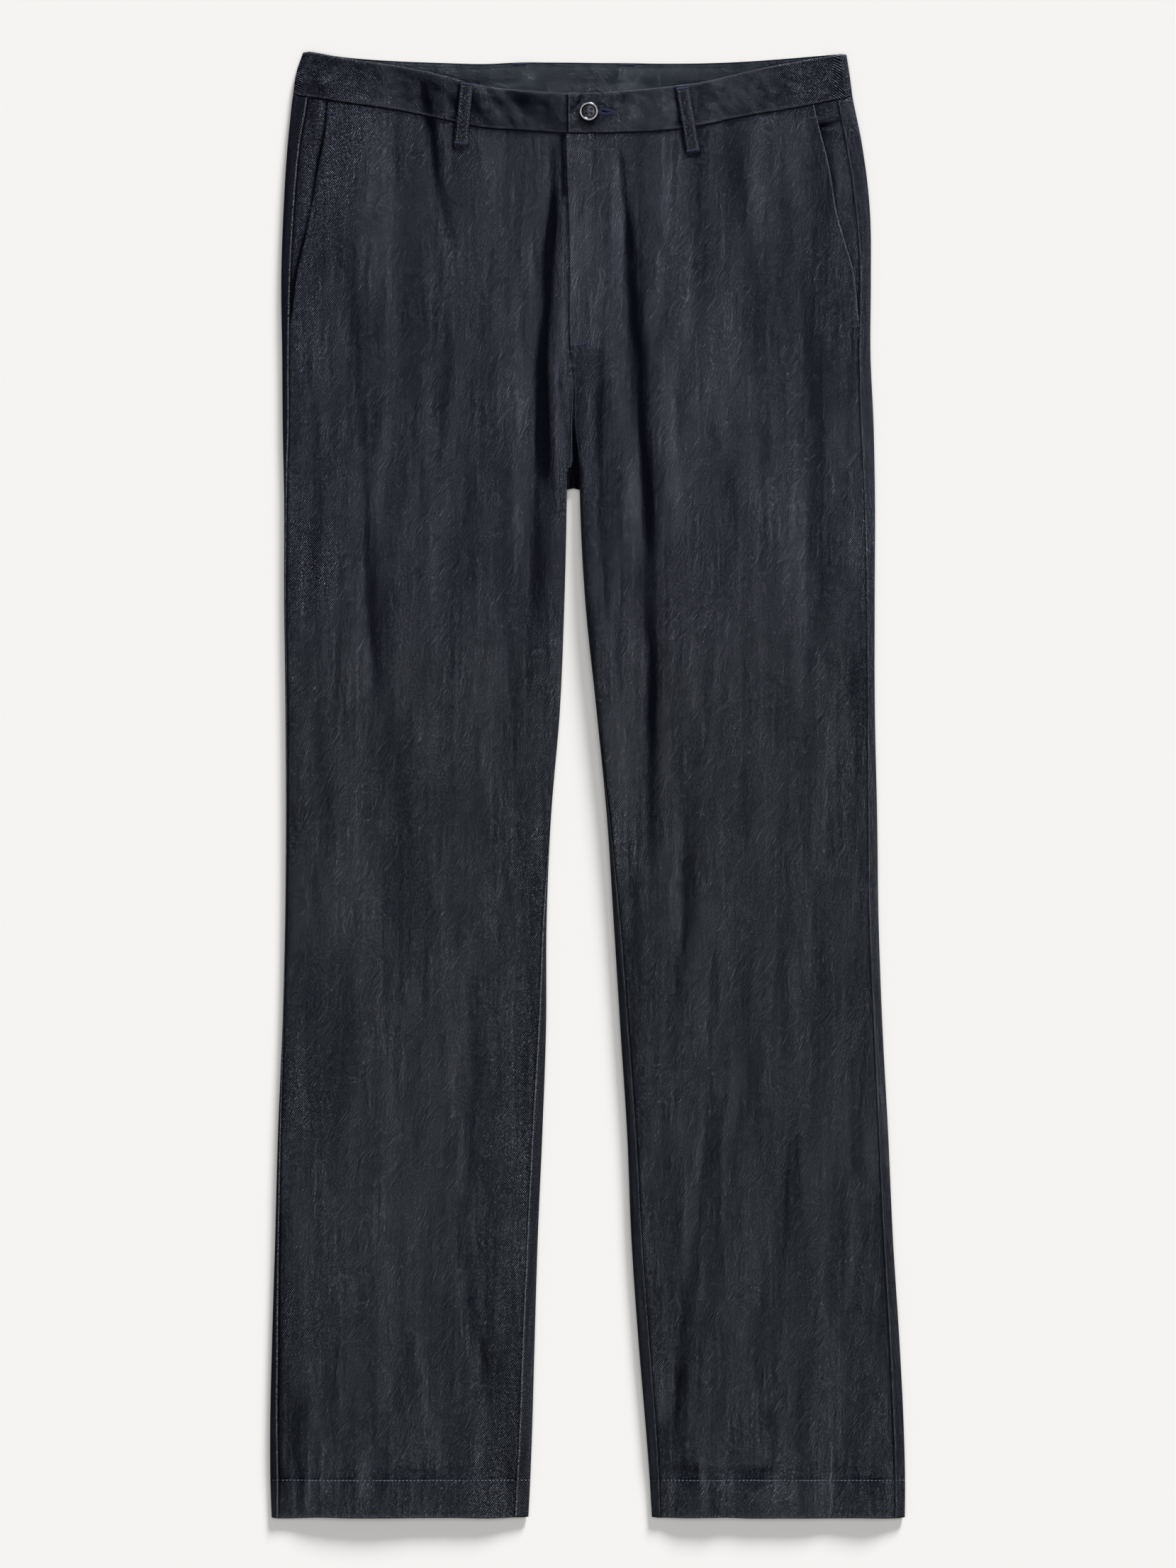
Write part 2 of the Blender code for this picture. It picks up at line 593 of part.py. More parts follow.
def waistband(material):
    """One strip from the button end, round the right side, the back and the left side to the fly."""
    fly = centre_front(SEAM_Y)
    tab = np.array([BUTTON_TAB, 18.0, 9.0, 0.0, -0.5 * FLY_SINK_RUN, -FLY_SINK_RUN]) + fly
    right_x = np.concatenate([tab, np.linspace(-38.0, -208.0, 13)])
    left_x = np.concatenate([np.linspace(188.0, 8.0, 14), [-4.0, fly + 0.5 * SEAM_GAP]])
    back_x = FLOOR_X
    turn = np.linspace(1.0, 0.0, 9)

    def build(y):
        marks = np.cumsum([len(right_x), len(turn), len(back_x), len(turn)])
        right_y, right_edge_y, back_y, left_edge_y, left_y = np.split(y, marks, axis=1)

        def edge(side, way, height):
            outer = leg(height, side, "outer")
            wall = BAND_BACK_WALL + (BAND_WALL - BAND_BACK_WALL) * smoothstep(1.0 + way / ARC_UNDER)

            def level(x, _):
                return band_face(x, side)

            def point(at, up):
                return edge_point(at, up, outer, -SIDES[side], level)

            return with_wall(point, way, height, wall, -SIDES[side])

        def top(side, x, height):
            return with_wall(lambda at, _: (at, band_face(at, side)), x, height, BAND_WALL, 1.0)

        down = -ARC_UNDER + (2.0 * ARC_UNDER + 2.0) * turn
        flat = np.ones((3, 1))
        grid = np.concatenate(
            [
                top("right", right_x * flat, right_y),
                edge("right", down * flat, right_edge_y),
                with_wall(lambda at, up: (at, floor_lift(at, up)), back_x * flat, back_y, BAND_BACK_WALL, -1.0),
                edge("left", down[::-1] * flat, left_edge_y),
                top("left", left_x * flat, left_y),
            ],
            axis=2,
        )
        x = grid[0, ..., 0]
        turned = np.where(down > 0.0, 0.0, 1.0)
        behind = np.concatenate([0 * right_x, turned, 1 + 0 * back_x, turned[::-1], 0 * left_x]) > 0.5
        return grid, np.where(behind, band_rows(x, True), band_rows(x, False))

    columns = len(right_x) + len(left_x) + len(back_x) + 2 * len(turn)
    grid = settle(np.full(3, SEAM_Y), columns, build)
    return wall_between("waistband", *grid, material)


def waistband_facing(material):
    """The inside of the waistband behind, which lies on the band's outer layer."""
    inset = EDGE_RADIUS + 1.0
    ends = leg(SEAM_Y, "right", "outer") + inset, leg(SEAM_Y, "left", "outer") - inset
    lean = np.array([0.0, 0.5, 1.0])[:, None]
    top_ends = leg(569.0, "right", "outer") + inset, leg(569.0, "left", "outer") - inset
    first = ends[0] + (top_ends[0] - ends[0]) * lean
    last = ends[1] + (top_ends[1] - ends[1]) * lean
    x = np.concatenate([first, FLOOR_X * np.ones((3, 1)), last], axis=1)
    seam = waist(x, "back_seam") + 2.0 * SEAM_GAP
    top = waist(x, "back_top") - 2.0 * SEAM_GAP
    y = seam + (top - seam) * lean
    under = floor_lift(x, y) + BAND_BACK_WALL + SEAM_GAP
    face = np.stack([x, y, under + FACING_WALL], axis=-1)
    return wall_between("waistband_facing", face, np.stack([x, y, under], axis=-1), material)


def front_loop(row, material):
    """A belt loop on the front: it arches a little over the waistband between its two ends."""
    name, x_top, y_top, x_foot, y_foot = row
    side = name.rsplit("_", 1)[1]
    along = np.linspace(0.0, 1.0, 13)[:, None]
    across = np.linspace(-0.5, 0.5, 5)[None, :] * LOOP_WIDTH
    length = math.hypot(x_foot - x_top, y_foot - y_top)
    x = x_top + (x_foot - x_top) * along + across * (y_top - y_foot) / length
    y = y_top + (y_foot - y_top) * along + across * (x_foot - x_top) / length
    on_panel = front_level(x, y, side)
    on_band = np.maximum(band_face(x, side), on_panel)
    near_seam = y > waist(x, "front_seam") - length / 12.0
    height = np.where(near_seam, on_band, on_panel).max(axis=1, keepdims=True)
    height = height + LOOP_CLEAR + LOOP_ARCH * np.sin(math.pi * along) ** 2
    under = np.stack([x, y, height + 0.0 * x], axis=-1)
    face = under + np.array([0.0, 0.0, LOOP_WALL])
    return wall_between(name, face, under, material)


def back_loop(side, material):
    """A belt loop behind lies under the waistband and the panel's upper end."""
    x = CENTRE_BACK_X + SIDES[side] * BACK_LOOP_SPREAD
    foot = waist(x, "back_seam") - BACK_LOOP_TAIL
    head = waist(x, "back_top") - 2.0 * SEAM_GAP
    across, up = np.meshgrid(x + 0.5 * LOOP_WIDTH * np.array([-1.0, 1.0]), np.array([foot, head]))
    under = np.stack([across, up, 0.0 * up], axis=-1)
    face = under + np.array([0.0, 0.0, LOOP_WALL])
    return wall_between(f"belt_loop_back_{side}", face, under, material)


def lathe(name, profile, x, y, material):
    """A closed solid of revolution about an upright axis, from its profile of radius and height."""
    turn = np.linspace(0.0, 2.0 * math.pi, BUTTON_SIDES, endpoint=False)
    radius, height = np.array(profile).T
    ring = np.stack([np.cos(turn), np.sin(turn)], axis=-1)
    points = [(x, y, height[0])]
    for r, z in zip(radius[1:-1], height[1:-1]):
        points += [(x + r * c, y + r * s, z) for c, s in ring]
    points.append((x, y, height[-1]))
    faces = []
    for k in range(BUTTON_SIDES):
        after = (k + 1) % BUTTON_SIDES
        faces.append((0, 1 + k, 1 + after))
        for level in range(len(radius) - 3):
            low, high = 1 + level * BUTTON_SIDES, 1 + (level + 1) * BUTTON_SIDES
            faces.append((low + k, high + k, high + after, low + after))
        last = 1 + (len(radius) - 3) * BUTTON_SIDES
        faces.append((last + k, len(points) - 1, last + after))
    mesh = bpy.data.meshes.new(name)
    mesh.from_pydata((np.array(points) * MM).tolist(), [], faces)
    return finish(name, mesh, material)


def button(material):
    """A four-hole button with a raised rim, on the left end of the waistband."""
    base = band_face(np.linspace(-1.0, 1.0, 9) * BUTTON_RADIUS + BUTTON_X, "left").max() + SEAM_GAP
    top = base + BUTTON_THICK
    well = BUTTON_RADIUS - BUTTON_RIM
    profile = (
        (0.0, base),
        (BUTTON_RADIUS - BUTTON_EDGE, base),
        (BUTTON_RADIUS, base + BUTTON_EDGE),
        (BUTTON_RADIUS, top - BUTTON_EDGE),
        (BUTTON_RADIUS - 0.3 * BUTTON_EDGE, top - 0.3 * BUTTON_EDGE),
        (BUTTON_RADIUS - BUTTON_EDGE, top),
        (well, top - 0.2 * BUTTON_WELL),
        (well - 0.8, top - 0.8 * BUTTON_WELL),
        (well - 1.8, top - BUTTON_WELL),
        (0.0, top - BUTTON_WELL),
    )
    made = lathe("button", profile, BUTTON_X, BUTTON_Y, material)
    for k, (i, j) in enumerate(((-1, -1), (1, -1), (1, 1), (-1, 1))):
        hole = (
            (0.0, base - 1.0),
            (BUTTON_HOLE_RADIUS, base - 1.0),
            (BUTTON_HOLE_RADIUS, top + 1.0),
            (0.0, top + 1.0),
        )
        x = BUTTON_X + i * BUTTON_HOLE_OFFSET
        y = BUTTON_Y + j * BUTTON_HOLE_OFFSET
        cutter = lathe(f"button_hole_{k}", hole, x, y, material)
        cutter.hide_render = True
        cutter.display_type = "WIRE"
        cut = made.modifiers.new(f"hole_{k}", "BOOLEAN")
        cut.operation = "DIFFERENCE"
        cut.solver = "EXACT"
        cut.object = cutter
    return made


def surface(name, colour, roughness):
    made = bpy.data.materials.new(name)
    made.use_nodes = True
    shader = made.node_tree.nodes["Principled BSDF"]
    shader.inputs["Base Color"].default_value = (*colour, 1.0)
    shader.inputs["Roughness"].default_value = roughness
    shader.inputs["Metallic"].default_value = 0.0
    return made


def finish(name, mesh, material):
    """Drops loose points, points every face out, and shades the mesh smooth up to its corners."""
    shape = bmesh.new()
    shape.from_mesh(mesh)
    bmesh.ops.delete(shape, geom=[v for v in shape.verts if not v.link_faces], context="VERTS")
    bmesh.ops.recalc_face_normals(shape, faces=shape.faces)
    if shape.calc_volume(signed=True) < 0.0:
        bmesh.ops.reverse_faces(shape, faces=shape.faces)
    shape.to_mesh(mesh)
    shape.free()
    mesh.materials.append(material)
    mesh.shade_smooth()
    mesh.set_sharp_from_angle(angle=math.radians(40.0))
    made = bpy.data.objects.new(name, mesh)
    bpy.context.scene.collection.objects.link(made)
    return made


def wall_between(name, face, lining, material, cells=None):
    """A closed wall between two grids of points, with a rim wherever its cells end."""
    rows, columns = face.shape[:2]
    if cells is None:
        cells = np.ones((rows - 1, columns - 1), bool)
    below = rows * columns
    index = np.arange(below).reshape(rows, columns)
    faces = []
    for row, col in zip(*np.nonzero(cells)):
        corners = [index[row, col], index[row, col + 1], index[row + 1, col + 1], index[row + 1, col]]
        faces.append(corners)
        faces.append([corner + below for corner in reversed(corners)])
        for k, (down, across) in enumerate(((-1, 0), (0, 1), (1, 0), (0, -1))):
            near_row, near_col = row + down, col + across
            inside = 0 <= near_row < rows - 1 and 0 <= near_col < columns - 1
            if not (inside and cells[near_row, near_col]):
                start, end = corners[k], corners[(k + 1) % 4]
                faces.append([end, start, start + below, end + below])
    points = np.concatenate([face.reshape(-1, 3), lining.reshape(-1, 3)]) * MM
    mesh = bpy.data.meshes.new(name)
    mesh.from_pydata(points.tolist(), [], [[int(i) for i in corners] for corners in faces])
    return finish(name, mesh, material)


for existing in list(bpy.data.objects):
    bpy.data.objects.remove(existing)

denim = surface("denim", (0.018, 0.021, 0.032), 0.9)
inner_denim = surface("denim_inside", (0.035, 0.043, 0.065), 0.9)
resin = surface("button_plastic", (0.012, 0.013, 0.018), 0.3)

for wearer_side in SIDES:
    front_panel(wearer_side, denim)
    back_panel(wearer_side, denim)
    pocket_facing(wearer_side, denim)
    back_loop(wearer_side, denim)
for loop_row in LOOP_ROWS:
    front_loop(loop_row, denim)
waistband(denim)
waistband_facing(inner_denim)
button(resin)
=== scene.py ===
import math

import bpy
import numpy as np
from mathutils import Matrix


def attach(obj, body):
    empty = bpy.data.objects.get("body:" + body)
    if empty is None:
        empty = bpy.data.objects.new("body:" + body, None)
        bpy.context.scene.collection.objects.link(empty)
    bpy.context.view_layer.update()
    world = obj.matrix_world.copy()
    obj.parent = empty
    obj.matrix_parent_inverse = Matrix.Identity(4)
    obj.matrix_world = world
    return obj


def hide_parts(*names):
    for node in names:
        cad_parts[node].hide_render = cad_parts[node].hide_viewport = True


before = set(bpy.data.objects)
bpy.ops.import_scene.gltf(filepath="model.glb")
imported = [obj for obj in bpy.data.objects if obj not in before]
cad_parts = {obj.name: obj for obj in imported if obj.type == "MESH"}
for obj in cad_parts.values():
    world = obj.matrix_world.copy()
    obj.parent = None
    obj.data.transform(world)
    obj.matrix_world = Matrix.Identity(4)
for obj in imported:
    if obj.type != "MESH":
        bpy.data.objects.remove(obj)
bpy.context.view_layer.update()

# Straight-leg trousers that lie face up. Right and left are the wearer's: the right leg is at -x.
# Sizes are in millimetres, in the frame's own axes, and become metres where a mesh is made.
mm = 0.001
sides = {"right": -1, "left": 1}

lay = {
    "wall": 1.2,  # one layer of cloth
    "hemWall": 1.8,  # where the hem is turned up
    "hemTop": -542.8,
    "hemLine": -539.6,  # the row of stitches that holds the hem
    "hemEnd": -569.0,
    "level": 6.2,  # top of the front layer away from edges and folds
    "edgeLevel": 6.8,
    "edgeReach": 22.0,
    "innerReach": 30.0,
    "edgeRadius": 3.4,  # of the folded edge where it leaves the floor
    "edgeWidth": 4.0,
    "leastRoom": 0.3,  # between the layers at the bottom of a fold
    "seamGap": 0.3,
    "crotch": 241.5,
    "backCrotch": 229.4,
    "crotchStep": 0.6,
    "crotchRun": 60.0,
    "crotchValley": 8.0,
    "centreBack": -11.0,
    "join": 0.01,  # how far each back panel's edge stands from the centre-back line
    "leastFloor": 0.4,  # the lowest that a lining or a thread may come to the floor
    "sewnDrop": 0.9,  # how far a panel's sewn edge rounds down
    "endDrop": 1.1,  # and its hem's end
    "seamDip": 0.28,  # how deep a plain seam lies in the cloth
}
band = {
    "seamY": 535.0,  # the waist seam at the side edges
    "depth": 34.4,
    "step": 0.4,  # the band stands this much over the panels
    "run": 60.0,  # the panels leave the band's height over this length
    "wall": 2.2,
    "backWall": 1.3,
    "tab": 27.0,  # the right end goes this far under the left one
    "tabSink": 1.8,
}
fly = {
    "end": 341.0,
    "endRun": 15.0,
    "overlap": 7.0,
    "step": 1.8,
    "width": 28.0,
    "run": 40.0,
    "sinkRun": 7.0,
    "lightWidth": 20.0,  # the stretch beside its edge that is lighter
}
pocket = {"end": 364.0, "step": 0.9, "run": 20.0, "sinkRun": 6.0, "under": 8.0, "wall": 1.1}

# From the waist down each leg: the outer edge, how far in from it the side seam lies, how far in from
# the inner edge the inseam lies, and the inner edge.
legColumns = ("y", "outer", "sideSeam", "inseam", "inner")
legRows = {
    "right": (
        (569.0, -220.6, 4.0, 0.0, -16.0),
        (554.0, -225.7, 9.0, 0.0, -16.0),
        (534.0, -228.8, 12.0, 0.0, -16.0),
        (500.0, -232.5, 10.1, 0.0, -16.0),
        (445.0, -236.1, 8.7, 0.0, -16.0),
        (390.0, -237.8, 7.6, 0.0, -16.0),
        (335.0, -237.1, 5.9, 0.0, -16.0),
        (280.0, -236.7, 5.5, 0.0, -16.0),
        (225.0, -235.6, 3.0, 0.0, -16.2),
        (140.0, -235.5, 2.0, 0.0, -18.1),
        (60.0, -234.5, 1.8, 0.0, -21.4),
        (-25.0, -234.1, 1.4, 0.4, -28.4),
        (-105.0, -234.8, 1.2, 3.5, -31.8),
        (-190.0, -236.9, 1.5, 6.6, -32.3),
        (-270.0, -240.3, 3.0, 8.5, -35.1),
        (-355.0, -242.6, 3.8, 8.9, -38.8),
        (-435.0, -245.0, 5.4, 10.0, -41.2),
        (-500.0, -246.4, 6.4, 10.6, -43.0),
        (-541.0, -246.2, 6.8, 11.0, -44.6),
        (-569.0, -245.2, 5.6, 11.0, -46.0),
    ),
    "left": (
        (569.0, 200.4, 7.0, 0.0, -6.6),
        (554.0, 202.9, 9.6, 0.0, -6.6),
        (534.0, 205.6, 12.2, 0.0, -6.6),
        (500.0, 212.4, 12.9, 0.0, -6.6),
        (445.0, 219.1, 11.5, 0.0, -6.6),
        (390.0, 219.8, 9.0, 0.0, -6.6),
        (335.0, 219.5, 9.5, 0.0, -6.6),
        (280.0, 221.9, 10.6, 0.0, -6.6),
        (225.0, 223.0, 9.1, 0.0, -6.1),
        (140.0, 222.8, 6.9, 0.0, -1.7),
        (60.0, 222.9, 6.4, 0.3, 6.6),
        (-25.0, 224.7, 7.9, 3.0, 14.9),
        (-105.0, 225.8, 8.0, 5.9, 20.1),
        (-190.0, 228.9, 7.5, 7.0, 25.4),
        (-270.0, 233.2, 8.1, 7.6, 30.6),
        (-355.0, 237.1, 8.0, 9.0, 34.1),
        (-435.0, 242.2, 8.4, 9.2, 39.7),
        (-500.0, 245.4, 8.7, 8.8, 45.2),
        (-541.0, 246.4, 8.3, 8.0, 48.3),
        (-569.0, 246.2, 8.1, 7.2, 50.0),
    ),
}

# Across the waist: the front waist seam, and the top edges of the band in front and behind.
waistColumns = ("x", "frontSeam", "frontTop", "backTop")
waistRows = (
    (-229.0, 534.9, 569.6, 569.3),
    (-220.5, 533.6, 569.2, 569.0),
    (-188.0, 528.8, 563.7, 564.6),
    (-147.0, 522.7, 557.7, 561.6),
    (-115.0, 516.2, 551.2, 560.4),
    (-82.0, 509.4, 542.4, 559.5),
    (-50.0, 507.2, 538.8, 560.6),
    (-16.0, 505.2, 536.8, 560.6),
    (30.0, 505.7, 538.4, 560.0),
    (59.0, 507.1, 541.5, 559.8),
    (89.0, 511.3, 545.3, 560.0),
    (122.0, 518.1, 553.0, 561.3),
    (158.0, 524.3, 560.5, 563.9),
    (185.0, 529.4, 565.1, 566.2),
    (206.0, 533.6, 568.4, 568.0),
)

# The fly edge and, below the fly, the front crotch seam.
centreColumns = ("y", "x")
centreRows = (
    (540.0, -15.0),
    (505.0, -17.0),
    (476.0, -16.0),
    (411.0, -14.0),
    (341.0, -13.5),
    (304.0, -10.5),
    (277.0, -11.3),
    (263.0, -11.2),
    (242.0, -11.4),
)

# How far in from the side edges the slant pockets open.
pocketColumns = ("y", "right", "left")
pocketRows = (
    (534.0, 26.8, 31.0),
    (510.0, 27.7, 30.6),
    (480.0, 24.6, 28.0),
    (440.0, 20.0, 25.0),
    (420.0, 16.4, 19.7),
    (400.0, 12.1, 13.8),
    (380.0, 9.6, 11.0),
    (364.0, 7.4, 9.6),
)

# Height of the front layer at the inner edge of each leg: the left thigh is puffed up.
innerColumns = ("y", "right", "left")
innerRows = (
    (300.0, 6.8, 7.0),
    (240.0, 6.8, 11.5),
    (190.0, 6.8, 13.0),
    (40.0, 6.8, 13.0),
    (-106.0, 6.8, 10.4),
    (-350.0, 6.8, 8.2),
    (-569.0, 6.8, 6.8),
)

# Height of the front waistband, by x.
bandRows = (
    (-229.0, 6.8),
    (-190.0, 6.6),
    (-130.0, 6.5),
    (-75.0, 7.1),
    (35.0, 7.1),
    (75.0, 6.9),
    (130.0, 6.5),
    (170.0, 6.6),
    (206.0, 6.8),
)

# Folds that run down the legs, each along a curve through three points evenly spaced in y: the y of its
# top and foot, the x at its top, middle and foot, half the trough's width and its depth, how much painted
# shade darkens its right wall, and how much painted highlight lightens the ridge beside that wall.
foldRows = (
    (512.0, 405.0, -30.0, -26.5, -31.0, 5.5, 1.6, 0.80, 0.10),  # beside the fly, its head
    (475.0, 215.0, -20.5, -36.0, -31.0, 8.5, 3.4, 1.25, 0.22),  # the same, sharp
    (322.0, 95.0, -34.5, -40.0, -40.0, 10.0, 2.4, 0.76, 0.12),  # and its soft foot
    (508.0, 400.0, 20.0, 30.0, 34.0, 4.2, 1.6, 0.90, 0.20),  # left thigh, a sharp head
    (462.0, 165.0, 30.0, 39.0, 49.0, 9.0, 2.6, 0.94, 0.20),
    (310.0, -115.0, 41.0, 48.0, 49.5, 9.5, 2.2, 0.88, 0.22),
    (470.0, 240.0, 29.0, 31.0, 41.0, 4.5, 0.4, 0.34, 0.0),  # the soft side of it
    (400.0, 90.0, 12.5, 9.5, 18.0, 6.0, 0.9, 0.50, 0.20),  # between it and the crotch seam
    (20.0, -215.0, 71.0, 77.0, 62.0, 10.0, 1.7, 0.30, 0.10),  # left knee
    (440.0, 20.0, -184.0, -172.5, -163.0, 11.5, 2.2, 0.66, 0.14),  # right thigh
    (60.0, -165.0, -163.0, -152.0, -141.0, 15.0, 1.4, 0.22, 0.10),  # right knee
    (548.0, 405.0, -130.0, -117.0, -103.0, 5.6, 2.0, 0.66, 0.16),  # below the right side of the band
    (190.0, -30.0, -64.0, -58.0, -62.0, 11.0, 1.7, 0.28, 0.10),  # right inner thigh
    (425.0, 190.0, 129.0, 134.0, 137.0, 10.0, 1.6, 0.30, 0.12),  # left mid thigh
    (445.0, 30.0, 165.0, 173.0, 171.0, 9.0, 1.9, 0.30, 0.12),  # left outer thigh
    (365.0, 175.0, 204.0, 201.0, 198.0, 7.0, 1.2, 0.30, 0.10),  # left side
    (-205.0, -530.0, 98.0, 82.0, 57.0, 9.0, 1.8, 0.40, 0.12),  # left shin
    (-240.0, -535.0, 158.0, 148.0, 144.0, 11.0, 1.5, 0.30, 0.12),
    (-190.0, -330.0, 203.0, 206.0, 208.0, 8.0, 1.0, 0.28, 0.10),
    (-120.0, -350.0, -94.0, -89.5, -97.0, 10.0, 1.5, 0.32, 0.12),  # right shin
    (-335.0, -480.0, -98.0, -88.0, -72.0, 8.0, 1.3, 0.30, 0.10),
    (340.0, 225.0, -17.0, -22.0, -15.0, 3.2, 1.0, 0.34, 0.16),  # along the crotch seam, on the right
    (506.0, 330.0, -147.0, -146.0, -144.0, 5.0, 0.7, 0.16, 0.10),
    (395.0, 240.0, -119.0, -117.0, -113.0, 8.0, 0.7, 0.14, 0.10),
    (270.0, 200.0, -83.0, -86.0, -92.0, 7.0, 0.7, 0.14, 0.08),
    (440.0, 330.0, 56.0, 60.0, 66.0, 7.0, 0.7, 0.12, 0.10),
    (120.0, -60.0, 117.0, 121.0, 118.0, 12.0, 1.0, 0.16, 0.08),
    (90.0, -110.0, -118.0, -112.0, -117.0, 12.0, 1.0, 0.14, 0.10),
    (-60.0, -260.0, 176.0, 182.0, 190.0, 12.0, 1.0, 0.16, 0.08),
    (-150.0, -330.0, -192.0, -196.0, -204.0, 12.0, 1.0, 0.16, 0.08),
    (-300.0, -500.0, -150.0, -143.0, -146.0, 13.0, 1.1, 0.16, 0.10),
    (-400.0, -535.0, 196.0, 200.0, 199.0, 9.0, 0.9, 0.16, 0.08),
    (-430.0, -545.0, -190.0, -186.0, -190.0, 8.0, 0.8, 0.14, 0.08),
    (-40.0, -145.0, 73.0, 75.0, 71.0, 6.0, 0.9, 0.36, 0.10),  # left knee, inner side
    (-115.0, -235.0, 62.0, 65.0, 60.0, 6.5, 0.8, 0.36, 0.10),
    (215.0, 115.0, 134.0, 136.0, 133.0, 7.0, 0.8, 0.34, 0.10),
    (310.0, 90.0, 163.0, 168.0, 165.0, 8.0, 0.9, 0.26, 0.10),
    (-440.0, -535.0, 72.0, 69.0, 73.0, 7.0, 1.0, 0.50, 0.10),
    (-395.0, -480.0, 131.0, 129.0, 132.0, 7.0, 0.8, 0.40, 0.10),
)
